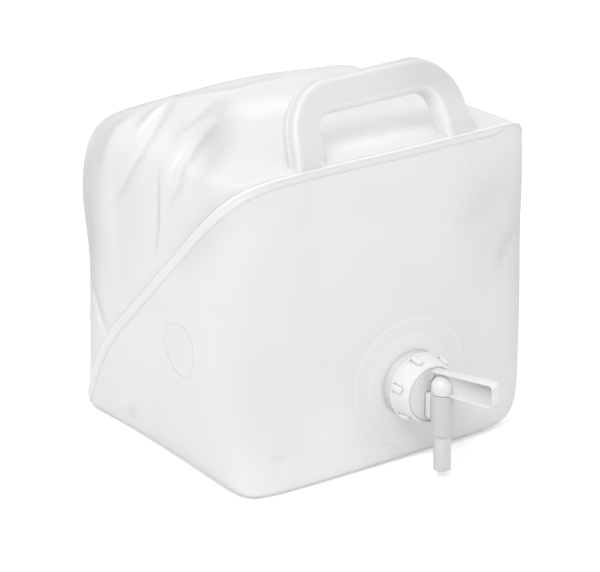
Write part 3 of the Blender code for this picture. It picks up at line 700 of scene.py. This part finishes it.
# painted light and painted shade alone, in millimetres: points and width, then tone
PATCHES = [
    # painted light on the side of the long pleat
    ([(-87.1, 77.5, 275.5), (-99.4, 67.6, 275.7), (-113.9, 57.3, 274.8), (-126, 49.3, 271.7),
      (-132.8, 46.5, 266.9)], 4, 0.6),
    # painted shade beside the second pleat
    ([(-76.3, -1.4, 281.5), (-110.6, -40.3, 280.5), (-139.3, -70.8, 275.3), (-147.6, -71.2, 256.3)],
     13, -0.3),
    # painted light on the middle of the top
    ([(-60.3, 7.8, 281.5), (-36.1, 14.1, 281.6), (-11.3, 15, 281.6), (15, 16, 281.6)], 22, 0.55),
    # painted light on the film under the handle, against the handle's shadow
    ([(-84.3, -95, 280.6), (-36.3, -88.6, 280.7), (2.4, -83.2, 280.6), (47.5, -76.7, 279.7),
      (82.7, -70.4, 278.4), (110, -65, 277)], 26, 0.85),
    # painted shade above the seam
    ([(-109.2, -104.8, 279.6), (-136.4, -113.4, 267.5), (-147.9, -78.8, 227.3), (-146.3, -22.4, 176.2)],
     18, -0.45),
    # painted shade on the upper part of the left wall
    ([(-132.9, 62, 264.8), (-143.2, 49.8, 221.6), (-144.3, 55.8, 165.7), (-144.3, 63.5, 117.4)], 26, -0.3),
    # painted shade between the pleats and the top
    ([(-45.4, 42.6, 280.3), (-102.5, -9.7, 280.7), (-143.1, -40.4, 268.2)], 12, -0.45),
    # painted shade on the right part of the front wall
    ([(117.6, -122.4, 256), (114.3, -122.4, 211.9), (111, -122.5, 167.5), (116.1, -122.5, 120.8)], 34, -0.38),
    # painted light on the middle of the front wall
    ([(-84, -122.4, 242.3), (-39.4, -122.5, 214.8), (-4.1, -122.5, 184.6)], 45, 0.1),
    # painted light on the foot of the front wall
    ([(-85, -124, 42.5), (-54.9, -124, 43.9), (-22.5, -124, 46.8)], 30, 0.28),
    # painted shade on the middle of the left rear edge
    ([(-142, 108, 100), (-142, 110, 150), (-146, 106, 205), (-145, 96, 250)], 20, -0.75),
    # painted shade along the right front edge
    ([(148.5, -110, 50), (148.5, -112, 150), (148.5, -116, 262)], 20, -0.6),
    # painted shade along the left front edge
    ([(-128, -113, 20), (-131, -110, 80), (-131, -109, 160), (-126, -111, 230)], 24, -0.24),
]
# round dents and bumps, in millimetres: centre, radius and height, then tone, painted shade below 0 and
# painted light above
DENTS = [
    ((-143, 49, 18), 7, -1.4, -0.4), ((-143, 60, 26), 8, 1, 0.1), ((-147, -112, 54), 9, -0.6, -0.2),
    ((-110, -126, 27), 8, -0.9, -0.2), ((-98, -126, 18), 7, 0.6, 0.1), ((88, -124, 250), 2.5, -0.5, -0.3),
]
print("folds", len(FOLDS), "patches", len(PATCHES), "dents", len(DENTS))

# %% [markdown]
# Everything moves the skin along its own normal. A place is moved by the
# nearest stretch of each fold, less the further it is from the line and the
# nearer to the line's ends. Where the tone changes its sign across a line, it
# starts from nothing on the line itself, so that no hard edge shows.

# %% Fold effect
# along its line, a fold's strength follows half a sine wave, flattened, that stops a little short of nothing
LINE_ENDS, LINE_TAPER, TONE_START = 0.02, 0.6, 0.003


def fold_effect(places, normals, points, height, left, right, sharp, tone_left, tone_right):
    """How far each place is moved by one fold, and how its tone changes."""
    best = np.full(len(places), np.inf)
    lift, tone = np.zeros(len(places)), np.zeros(len(places))
    line = np.array(points) / 1000
    reach = np.cumsum([0] + [np.linalg.norm(b - a) for a, b in zip(line, line[1:])])
    for n, (a, b) in enumerate(zip(line, line[1:])):
        along = b - a
        length = np.linalg.norm(along)
        t = np.clip((places - a) @ along / length ** 2, 0, 1)
        away = places - (a + t[:, None] * along)
        flat = away - normals * (away * normals).sum(1)[:, None]
        far = np.linalg.norm(away, axis=1)
        on_left = (flat * np.cross(normals, along)).sum(1) > 0
        spread = np.where(on_left, left, right) / 1000
        done = np.clip((reach[n] + t * length) / reach[-1], LINE_ENDS, 1 - LINE_ENDS)
        taper = np.sin(np.pi * done) ** LINE_TAPER
        shade = np.where(on_left, tone_left, tone_right)
        if tone_left * tone_right < 0:
            shade = shade * np.clip(far / TONE_START, 0, 1)
        nearer = far < best
        lift = np.where(nearer, height / 1000 * taper * np.exp(-(far / spread) ** sharp), lift)
        tone = np.where(nearer, shade * taper * np.exp(-(far / spread) ** 2), tone)
        best = np.minimum(best, far)
    return lift, tone


crest, upwards = np.array([FOLDS[0][0][3]]) / 1000, np.array([[0.0, 0.0, 1.0]])
print("height of the first pleat at its middle", fold_effect(crest, upwards, *FOLDS[0])[0].round(5))

# %% [markdown]
# The big faces also belly and sink by fractions of a millimetre, except round
# the neck and at the base, where the film is stiff. Behind the weld the film
# draws in a little, because the welded band doesn't stretch with it.

# %% Crumpled film
# the waves' height, the calm ring round the neck, and how they fade in beyond it and above the base
WAVE, CALM_RADIUS, CALM_FADE, BASE_FADE = 0.0005, 0.045, 0.040, 0.020
# how deep the film draws in, how far behind the seam, how wide, and the lean of the seam's surface
DRAW_IN, DRAW_IN_AT, DRAW_IN_WIDE, SEAM_LEAN = 0.0007, 0.0030, 0.0022, 0.72


def waviness(places):
    """Slow unevenness of the big faces."""
    x, y, z = places.T
    return WAVE * (np.sin(41 * x + 23 * z + 1.0) * np.cos(37 * y - 19 * z)
                   + 0.6 * np.sin(67 * y + 31 * x + 2.0) * np.cos(59 * z + 13 * x))


def crumple(mesh):
    """Fold, dent and wave the film, and keep its painted light and shade on the mesh."""
    places, normals = np.empty(len(mesh.vertices) * 3), np.empty(len(mesh.vertices) * 3)
    mesh.vertices.foreach_get("co", places)
    mesh.vertices.foreach_get("normal", normals)
    places, normals = places.reshape(-1, 3), normals.reshape(-1, 3)
    lines = FOLDS + [(points, 0, width, width, 2, tone, tone) for points, width, tone in PATCHES]
    lift, tone = (sum(effect) for effect in zip(*(fold_effect(places, normals, *line) for line in lines)))
    for centre, radius, height, shade in DENTS:
        far = np.linalg.norm(places - np.array(centre) / 1000, axis=1)
        near = np.exp(-(far / (radius / 1000)) ** 2)
        lift += height / 1000 * near
        tone += shade * near
    neck = np.hypot(places[:, 0] - NECK_X, places[:, 2] - NECK_Z)
    calm = np.where(places[:, 1] < 0, np.clip((neck - CALM_RADIUS) / CALM_FADE, 0, 1), 1)
    lift += waviness(places) * calm * np.clip(places[:, 2] / BASE_FADE, 0, 1)
    above = (places[:, 2] - np.array([seam_height(y) for y in places[:, 1]])) * SEAM_LEAN
    lift -= DRAW_IN * np.exp(-((above - DRAW_IN_AT) / DRAW_IN_WIDE) ** 2)
    mesh.vertices.foreach_set("co", (places + normals * lift[:, None]).ravel())
    mesh.attributes.new("painted_tone", "FLOAT", "POINT").data.foreach_set("value", np.clip(tone, -1, 1))
    mesh.update()
    return lift


moved = crumple(skin)
print("skin moved in and out by", round(float(moved.min()), 4), round(float(moved.max()), 4))

# %% [markdown]
# The seam's points are found on the skin: every mesh edge that crosses the
# seam's slanting surface gives one, and they are put in order round the loop
# and spaced evenly. A line drawn beside the skin would miss its folds.

# %% Seam line
SEAM_SPACING = 0.003


def seam_loop(mesh):
    """The places where the mesh's edges cross the seam's surface, in order."""
    bm = bmesh.new()
    bm.from_mesh(mesh)
    side = {v: v.co.z - seam_height(v.co.y) for v in bm.verts}
    crossing = {}
    for edge in bm.edges:
        a, b = edge.verts
        if side[a] * side[b] < 0:
            crossing[edge] = a.co.lerp(b.co, side[a] / (side[a] - side[b]))
    start = next(iter(crossing))
    loop, edge, face = [], start, start.link_faces[0]
    while True:
        loop.append(crossing[edge])
        edge = next(e for e in face.edges if e in crossing and e != edge)
        face = next((f for f in edge.link_faces if f != face), face)
        if edge == start:
            break
    bm.free()
    return loop


def evenly(points, spacing):
    """The closed line through points, with points the same distance apart."""
    lengths = [0.0]
    closed = points + points[:1]
    for a, b in zip(closed, closed[1:]):
        lengths.append(lengths[-1] + (b - a).length)
    wanted = np.linspace(0, lengths[-1], round(lengths[-1] / spacing), endpoint=False)
    places = np.array([list(p) for p in closed])
    even = np.stack([np.interp(wanted, lengths, places[:, n]) for n in range(3)], 1)
    for _ in range(3):
        even = (np.roll(even, 1, 0) + 2 * even + np.roll(even, -1, 0)) / 4
    return [Vector(p) for p in even]


seam = evenly(seam_loop(skin), SEAM_SPACING)
print("seam points", len(seam), "length", round(SEAM_SPACING * len(seam), 3))

# %% [markdown]
# The folded skin becomes the visible film. It stands for the four walls of the
# model and rides on the container's body. A search tree of its faces is kept,
# because the weld, the pad and the handle's feet are laid on it.

# %% Film piece
surface = BVHTree.FromPolygons([v.co.copy() for v in skin.vertices],
                               [tuple(p.vertices) for p in skin.polygons])
bm = bmesh.new()
bm.from_mesh(skin)
film_skin = finish_piece("film_skin", bm, film, "container",
                         ("front_wall", "lower_walls", "upper_walls", "rear_wall"))
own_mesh(film_skin)

# %% [markdown]
# The weld has a thin raised ridge on the seam itself and a flat band below it,
# which ends in a faint step. Its cross-section is drawn once and carried round
# the loop by extruding its edges. A bevelled curve would be quicker, but it
# can't lean with the film. Here each point is laid on the skin and then lifted
# by its height, so the weld follows every fold under it.

# %% Seam weld
# distance below the seam and height above the film, in millimetres, and tone: painted light on the ridge,
# painted shade in the lines beside it
WELD = [(-3.6, -0.4, -0.2), (-2.8, 0.08, -0.7), (-1.7, 0.15, -0.9), (-1.0, 1.0, 0.1), (-0.4, 1.6, 0.5),
        (0.3, 1.6, 0.5), (0.9, 1.1, 0.2), (1.7, 0.7, 0.0), (3.0, 0.6, 0.0), (6.2, 0.6, -0.1),
        (7.0, 0.5, -0.4), (7.8, 0.1, -0.5), (8.3, -0.5, -0.3), (3.0, -0.6, 0.0)]
# within this many millimetres of the seam, the weld rises along the seam's own steadier normal
STEADY = 3
# so far from the seam, in metres, a probe shows which way is down
PROBE = 0.004


def laid(place, height, steady=None, share=0.0):
    """The point of the skin nearest to a place, lifted off it."""
    spot, normal, _, _ = surface.find_nearest(place)
    if steady is not None:
        normal = normal.lerp(steady, share).normalized()
    return spot + normal * height


def seam_frames(points):
    """For each seam point its place, the skin's normal and the way down the front half."""
    count = len(points)
    normals = [surface.find_nearest(p)[1] for p in points]
    for _ in range(4):
        normals = [(normals[n - 1] + normals[n] + normals[(n + 1) % count]).normalized()
                   for n in range(count)]
    frames = []
    for n, point in enumerate(points):
        ahead = points[(n + 1) % count] - points[n - 1]
        down = normals[n].cross(ahead).normalized()
        probe = point + down * PROBE
        if probe.z - seam_height(probe.y) > 0:
            down = -down
        frames.append((point, normals[n], down))
    return frames


def weld_mesh():
    """The cross-section carried once round the seam."""
    bm = bmesh.new()
    frames = seam_frames(seam)

    def section(n):
        point, normal, down = frames[n % len(frames)]
        return [laid(point + down * across / 1000, height / 1000, normal, max(0, 1 - abs(across) / STEADY))
                for across, height, _ in WELD]

    tone = bm.verts.layers.float.new("painted_tone")
    ring, edges = drawn(bm, section(0))
    for vert, (_, _, value) in zip(ring, WELD):
        vert[tone] = value
    for n in range(1, len(frames) + 1):
        made = bmesh.ops.extrude_edge_only(bm, edges=edges)["geom"]
        edges = [e for e in only(BMEdge, made) if e.is_boundary and e not in edges]
        fresh = set(only(BMVert, made))
        onward = {other: v for v in fresh for other in (e.other_vert(v) for e in v.link_edges)
                  if other not in fresh}
        ring = [onward[v] for v in ring]
        for vert, spot in zip(ring, section(n)):
            vert.co = spot
    bmesh.ops.remove_doubles(bm, verts=bm.verts[:], dist=0.00002)
    return outwards(bm)


weld = finish_piece("seam_weld", weld_mesh(), weld_film, "container")
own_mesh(weld)

# %% [markdown]
# The neck sits on a round pad of the front wall, with two shallow steps. The
# pad's profile is spun flat, then each of its points is laid on the skin and
# lifted by its height, so that the pad follows the wall's soft lean. Folds
# could raise the pad from the skin, but its steps are finer than its faces.

# %% Neck pad
# radius and height, in millimetres, and tone: painted light round the neck, against the collar's shadow
PAD = [(20, 1.3, 0.6), (33, 1.3, 0.5), (38.5, 1.2, 0.25), (41.0, 0.95, 0.2), (43.5, 0.55, 0.0),
       (45.0, 0.45, 0.05), (52.0, 0.4, 0.0), (55.0, 0.3, 0.03), (57.5, 0.0, -0.1), (59.0, -0.4, 0.0),
       (20, -0.8, 0.0)]
PAD_START = FRONT - 0.003


def pad_mesh():
    """The pad spun flat and laid on the front wall."""
    bm = spun([(r / 1000, h / 1000) for r, h, _ in PAD], steps=144)
    tone = bm.verts.layers.float.new("painted_tone")
    radii, tones = [r / 1000 for r, _, _ in PAD[:-1]], [t for _, _, t in PAD[:-1]]
    for v in bm.verts:
        v[tone] = float(np.interp(math.hypot(v.co.x, v.co.y), radii, tones))
        v.co = laid(Vector((NECK_X + v.co.x, PAD_START, NECK_Z + v.co.y)), v.co.z)
    return outwards(bm)


finish_piece("neck_pad", pad_mesh(), weld_film, "container", smooth_angle=60)

# %% [markdown]
# The handle is two moulded half tubes, welded back to back. Each half is made
# as it would be drawn by hand: a cross-section at the foot of one leg is drawn
# up the leg, spun round the corner, drawn along the grip, spun round the other
# corner and drawn down again. Only the front half carries the thin ridge. A
# curve with a bevel profile could do this, but its corners would pinch. The
# feet of the front half are then laid over the weld, on the front wall, where
# the real legs run out into the film.

# %% Handle
GRIP_HALF, GRIP_RISE, GRIP_BEND = 0.0745, 0.051, 0.026
GRIP_WIDE, GRIP_THICK, GRIP_GAP = 0.014, 0.011, 0.00015
GRIP_ROUND = (0, 0.0065, 0.0050, 0)
# the ridge on the outer side of the front half: how far out, and how far towards the front
RIDGE = [(0, 0.0016), (0.0016, 0.0013), (0.0022, 0.0007), (0.0022, GRIP_GAP)]
# painted light across the tube, from its inner to its outer side: on the rounded inner edge and on the outer
# edge and ridge
GRIP_TONE = [(-GRIP_WIDE, 0.9), (-GRIP_WIDE + 0.001, 0.7), (-GRIP_WIDE + 0.003, 0.6), (-GRIP_WIDE + 0.006, 0),
             (GRIP_WIDE - 0.004, 0), (GRIP_WIDE - 0.0015, 0.6), (GRIP_WIDE, 0.2), (GRIP_WIDE + 0.001, 0.3)]
# painted shade on the upper right of the grip: how much, from where and over what width to the right and up
RIGHT_PAINTED_SHADE, RIGHT_FROM, RIGHT_OVER, UP_FROM, UP_OVER = 0.4, 0.01, 0.04, 0.02, 0.02
# the legs lean in by a tenth of their distance over this height
LEAN_IN, LEAN_HEIGHT = 0.10, 0.065
LEG_STEPS, GRIP_STEPS, BEND_STEPS = 14, 6, 16
FOOT_DROP, REAR_FOOT_DROP = 0.0075, 0.006
# the feet turn from tube to film over this height, and lie so deep and so proud, lower at their ends
FOOT_TURNS_AT, FOOT_TURNS_OVER = 0.008, 0.010
FOOT_SUNK, FOOT_PROUD, FOOT_END_LOWER = 0.0006, 0.0029, 0.0016
HANDLE_LEAN = 26
HANDLE_FRAME = (Matrix.Translation((0.0030, FRONT + 0.0090, HEIGHT))
                @ Matrix.Rotation(math.radians(90 - HANDLE_LEAN), 4, "X"))


def ramp(value, width):
    """From 0 at nothing to 1 at the width and beyond."""
    return min(max(value / width, 0), 1)


def handle_half(front):
    """One half tube: X along the grip, Y up the leg and Z towards the front."""
    sign, drop = (1, FOOT_DROP) if front else (-1, REAR_FOOT_DROP)
    outline = fillet([(-GRIP_WIDE, GRIP_GAP), (-GRIP_WIDE, GRIP_THICK), (GRIP_WIDE, GRIP_THICK),
                      (GRIP_WIDE, GRIP_GAP)], GRIP_ROUND, steps=6)
    if front:
        outline = outline[:-1] + [(GRIP_WIDE + q, h) for q, h in RIDGE]
    bm = bmesh.new()
    tone = bm.verts.layers.float.new("painted_tone")
    ring, edges = drawn(bm, [(-GRIP_HALF - q, -drop, sign * h) for q, h in outline])
    for vert, (q, _) in zip(ring, outline):
        vert[tone] = float(np.interp(q, *zip(*GRIP_TONE)))
    bmesh.ops.edgeloop_fill(bm, edges=edges)

    def draw(edges, times, step):
        for _ in range(times):
            made = bmesh.ops.extrude_edge_only(bm, edges=edges)["geom"]
            bmesh.ops.translate(bm, verts=only(BMVert, made), vec=step)
            edges = [e for e in only(BMEdge, made) if e.is_boundary]
        return edges

    def bend(edges, centre):
        made = bmesh.ops.spin(bm, geom=edges, cent=centre, axis=(0, 0, 1), angle=math.radians(-90),
                              steps=BEND_STEPS, use_merge=False)
        return only(BMEdge, made["geom_last"])

    straight, side = GRIP_RISE - GRIP_BEND, GRIP_HALF - GRIP_BEND
    leg_step = (straight + drop) / LEG_STEPS
    edges = draw(edges, LEG_STEPS, (0, leg_step, 0))
    edges = bend(edges, (-side, straight, 0))
    edges = draw(edges, GRIP_STEPS, (side * 2 / GRIP_STEPS, 0, 0))
    edges = bend(edges, (side, straight, 0))
    edges = draw(edges, LEG_STEPS, (0, -leg_step, 0))
    bmesh.ops.edgeloop_fill(bm, edges=edges)
    bmesh.ops.triangulate(bm, faces=[f for f in bm.faces if len(f.verts) > 4])
    drawn_at = {v: v.co.copy() for v in bm.verts}
    for v in bm.verts:
        v.co.x *= 1 - LEAN_IN * v.co.y / LEAN_HEIGHT
    place(outwards(bm), HANDLE_FRAME)
    for v in bm.verts:
        _, up, out = drawn_at[v]
        v[tone] -= RIGHT_PAINTED_SHADE * ramp(v.co.x - RIGHT_FROM, RIGHT_OVER) * ramp(up - UP_FROM, UP_OVER)
        t = ramp(FOOT_TURNS_AT - up, FOOT_TURNS_OVER)
        if front and t > 0:
            end = ramp(-up, FOOT_DROP) ** 2
            proud = (FOOT_PROUD - FOOT_END_LOWER * end) * out / GRIP_THICK
            v.co = v.co.lerp(laid(v.co, proud - FOOT_SUNK), t * t * (3 - 2 * t))
    return bm


finish_piece("handle_front_half", handle_half(True), handle_film, "container", ("handle_front",),
             smooth_angle=50)
finish_piece("handle_rear_half", handle_half(False), handle_film, "container", ("handle_rear",),
             smooth_angle=50)

# %% [markdown]
# The neck is a turned part with a flange on the pad and a screw thread. The
# thread's cross-section is spun round the axis two turns and moved forward a
# little at each step, which draws a helix. The Screw modifier could wind it
# too, but the operator leaves a plain mesh whose two ends can be closed.

# %% Neck
THREAD_PITCH = 0.016 / 3
THREAD_HALF, THREAD_ROOTED = THREAD_PITCH * 0.26, 0.0004


def thread(bm, root, crest, start, turns, steps=72):
    """A raised screw thread round Z, rooted a little inside the wall."""
    low = root - THREAD_ROOTED
    section = [(low, -THREAD_HALF), (crest, -THREAD_HALF / 3), (crest, THREAD_HALF / 3), (low, THREAD_HALF)]
    ring, edges = drawn(bm, [(r, 0, start + z) for r, z in section])
    bm.faces.new(ring)
    last = bmesh.ops.spin(bm, geom=edges, cent=(0, 0, 0), axis=(0, 0, 1), dvec=(0, 0, THREAD_PITCH / steps),
                          angle=2 * math.pi * turns, steps=int(turns * steps))["geom_last"]
    bmesh.ops.edgeloop_fill(bm, edges=only(BMEdge, last))
    outwards(bm)


neck = spun(fillet([
    (0.0205, 0.0263), (0.0234, 0.0263), (0.0234, 0.0113), (0.0264, 0.0113), (0.0268, 0.0030),
    (0.0298, 0.0030), (0.0298, 0.0004), (0.0205, 0.0004)],
    (0.0006, 0.0008, 0.0006, 0.0010, 0.0012, 0.0007, 0, 0)), steps=128)
thread(neck, root=0.0234, crest=0.0242, start=0.0138, turns=2)
finish_piece("neck_with_thread", place(neck, NECK_FRAME), neck_plastic, "container", ("neck",),
             smooth_angle=40)

# %% [markdown]
# The collar is a turned part too: a thin rim at the back, a barrel that narrows
# a little towards the front and a rounded front edge. Six stout lugs along
# the barrel give wet fingers a grip. Each is a bevelled block, turned into
# place. An Array modifier round an empty could repeat them, but six are few.

# %% Collar
LUG_ANGLES = [45.5 + 60 * n for n in range(6)]
LUG_WIDE, LUG_INSIDE, LUG_PROUD, LUG_BEVEL = 0.0052, 0.0258, 0.0028, 0.0008
# how far forward the lug's rear and front ends are, and the barrel's radius there
LUG_ENDS = ((0.0160, 0.0281), (0.0276, 0.0268))

collar = spun(fillet([
    (0.0236, 0.0343), (0.0259, 0.0343), (0.0283, 0.0170), (0.0303, 0.0165), (0.0303, 0.0147),
    (0.0252, 0.0147), (0.0252, 0.0317), (0.0236, 0.0317)],
    (0.0003, 0.0014, 0.0004, 0.0006, 0.0006, 0, 0, 0)), steps=128)
for angle in LUG_ANGLES:
    block = bmesh.ops.create_cube(collar, size=1)["verts"]
    for v in block:
        forward, barrel = LUG_ENDS[v.co.z > 0]
        v.co = (barrel + LUG_PROUD if v.co.x > 0 else LUG_INSIDE, v.co.y * LUG_WIDE, forward)
    block = bevelled(collar, list({e for v in block for e in v.link_edges}), LUG_BEVEL, 3)
    bmesh.ops.rotate(collar, verts=block, cent=(0, 0, 0), matrix=Matrix.Rotation(math.radians(angle), 3, "Z"))
finish_piece("collar_with_lugs", place(collar, NECK_FRAME), collar_plastic, "collar",
             ("screw_collar",), smooth_angle=40)

# %% [markdown]
# The tap body is a round plug that fills the collar, a block in front of it and
# an upright sleeve. The plug is turned on the neck's axis and the sleeve on the
# lever's axis. The three could be cut into one skin with booleans. They are
# only joined, because the places where they meet are hidden.

# %% Tap body
BLOCK_WIDE, BLOCK_TALL, BLOCK_DROP, BLOCK_BEVEL = 0.0168, 0.0225, 0.0075, 0.0015
BLOCK_REAR, BLOCK_FRONT = 0.0340, 0.0420
# painted shade on the sleeve and painted light on the plug's front
STEM_RADIUS, SLEEVE_TONE, PLUG_TONE = 0.0102, -0.4, 0.35

plug = spun(fillet([
    (0, 0.0350), (0.0234, 0.0346), (0.0234, 0.0314), (0.0247, 0.0314), (0.0247, 0.0289), (0, 0.0289)],
    (0, 0.0007, 0, 0.0003, 0.0003, 0)), closed=False)
block = bmesh.new()
bmesh.ops.create_cube(block, size=1)
for v in block.verts:
    forward = BLOCK_FRONT if v.co.z > 0 else BLOCK_REAR
    v.co = (v.co.x * BLOCK_WIDE, v.co.y * BLOCK_TALL - BLOCK_DROP, forward)
bevelled(block, block.edges[:], BLOCK_BEVEL, 3)
sleeve = spun(fillet([
    (0.0076, 0.0750), (0.0100, 0.0750), (0.0100, 0.0385), (0.0084, 0.0366), (0.0076, 0.0366)],
    (0.0002, 0.0006, 0.0012, 0.0006, 0.0002)))


def joined(*parts):
    """Several shapes under construction as one."""
    whole = bmesh.new()
    for part in parts:
        mesh = as_mesh(part, "part")
        whole.from_mesh(mesh)
        bpy.data.meshes.remove(mesh)
    return whole


def set_tone(bm, rule):
    """Keep a tone of painted light and shade on each point, worked out from its place and its distance to the
    lever's axis.
    """
    layer = bm.verts.layers.float.new("painted_tone")
    for v in bm.verts:
        v[layer] = rule(v.co, math.hypot(v.co.x - NECK_X, v.co.y - LEVER_Y))
    return bm


tap = joined(place(plug, NECK_FRAME), place(block, NECK_FRAME), place(sleeve, LEVER_FRAME))
set_tone(tap, lambda spot, radius: SLEEVE_TONE if radius < STEM_RADIUS else PLUG_TONE)
finish_piece("tap_plug_and_sleeve", tap, white_plastic, "tap", ("tap_body",),
             smooth_angle=40)

# %% [markdown]
# The lever, its domed head and the spout are one moulding. The blade is a
# block with rounded far corners. Its two sides are inset and pushed inwards,
# which leaves a top and a bottom flange, an end wall and a thin web between.
# Drawing these as separate strips would leave seams that a moulding hasn't.

# %% Lever and spout
LEVER_TURN = math.radians(-66.5)
# the blade's near and far end, its half width, its top, and its lower edge at either end
BLADE_ENDS, BLADE_HALF, BLADE_TOP, BLADE_LOW = (-0.0085, 0.0500), 0.0060, 0.0940, (0.0762, 0.0736)
BLADE_CORNER, BLADE_EDGE, FLANGE_THICK, WEB_DEEP = 0.0032, 0.0004, 0.0019, 0.0049
DOME_RADIUS, DOME_RISE, DOME_TOP, DOME_FOOT = 0.0100, 0.0085, 0.0905, 0.0755
# painted light on the dome, the spout and the flanges, a little on the web
DOME_TONE, SPOUT_TONE, FLANGE_TONE, WEB_TONE = 0.45, 0.15, 0.7, 0.1
# the web is in the shade of the top flange above this height
UNDER_FLANGE, UNDER_FLANGE_TONE = 0.085, -1.0


def blade_mesh():
    """The lever's blade along X, turned to where the photograph shows it."""
    bm = bmesh.new()
    bmesh.ops.create_cube(bm, size=1)
    for v in bm.verts:
        far, top = v.co.x > 0, v.co.z > 0
        v.co = (BLADE_ENDS[far], math.copysign(BLADE_HALF, v.co.y), BLADE_TOP if top else BLADE_LOW[far])
    across = [e for e in bm.edges if abs(e.verts[0].co.y - e.verts[1].co.y) > BLADE_HALF]
    bevelled(bm, [e for e in across if e.verts[0].co.x > 0], BLADE_CORNER, 6)
    bm.normal_update()
    sides = [f for f in bm.faces if abs(f.normal.y) > 0.9]
    bmesh.ops.inset_individual(bm, faces=sides, thickness=FLANGE_THICK)
    for f in sides:
        bmesh.ops.translate(bm, verts=f.verts, vec=(0, -math.copysign(WEB_DEEP, f.normal.y), 0))
    bevelled(bm, bm.edges[:], BLADE_EDGE, 2)
    return place(bm, Matrix.Rotation(LEVER_TURN, 4, "Z"))


def lever_tone(spot, radius):
    """Painted light on the dome and flanges, less on the web, and painted shade under the top flange."""
    if radius < STEM_RADIUS:
        return DOME_TONE if spot.z > DOME_FOOT else SPOUT_TONE
    across = (spot.x - NECK_X) * -math.sin(LEVER_TURN) + (spot.y - LEVER_Y) * math.cos(LEVER_TURN)
    if abs(across) < BLADE_HALF / 2:
        return UNDER_FLANGE_TONE if spot.z > UNDER_FLANGE else WEB_TONE
    return FLANGE_TONE


arc = [math.radians(7.5 * n) for n in range(13)]
dome = [(DOME_RADIUS * math.sin(a), DOME_TOP - DOME_RISE * (1 - math.cos(a))) for a in arc]
stem = spun(dome + [(DOME_RADIUS, DOME_FOOT), (0.0073, DOME_FOOT), (0.0073, 0.0060), (0.0069, 0.0055),
                    (0.0057, 0.0055), (0.0053, 0.0060), (0.0053, 0.0700), (0, 0.0700)], closed=False)
lever = set_tone(place(joined(stem, blade_mesh()), LEVER_FRAME), lever_tone)
finish_piece("lever_and_spout", lever, white_plastic, "lever", ("tap_lever",),
             smooth_angle=40)

# %% [markdown]
# The sealing washer lies inside, between the neck's rim and the tap. It is a
# plain rubber ring, whose shape is right in the model as it is, so it only
# takes its finish here.

# %% Washer
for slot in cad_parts["neck_washer"].material_slots:
    slot.material = rubber
print("washer in", rubber.name)
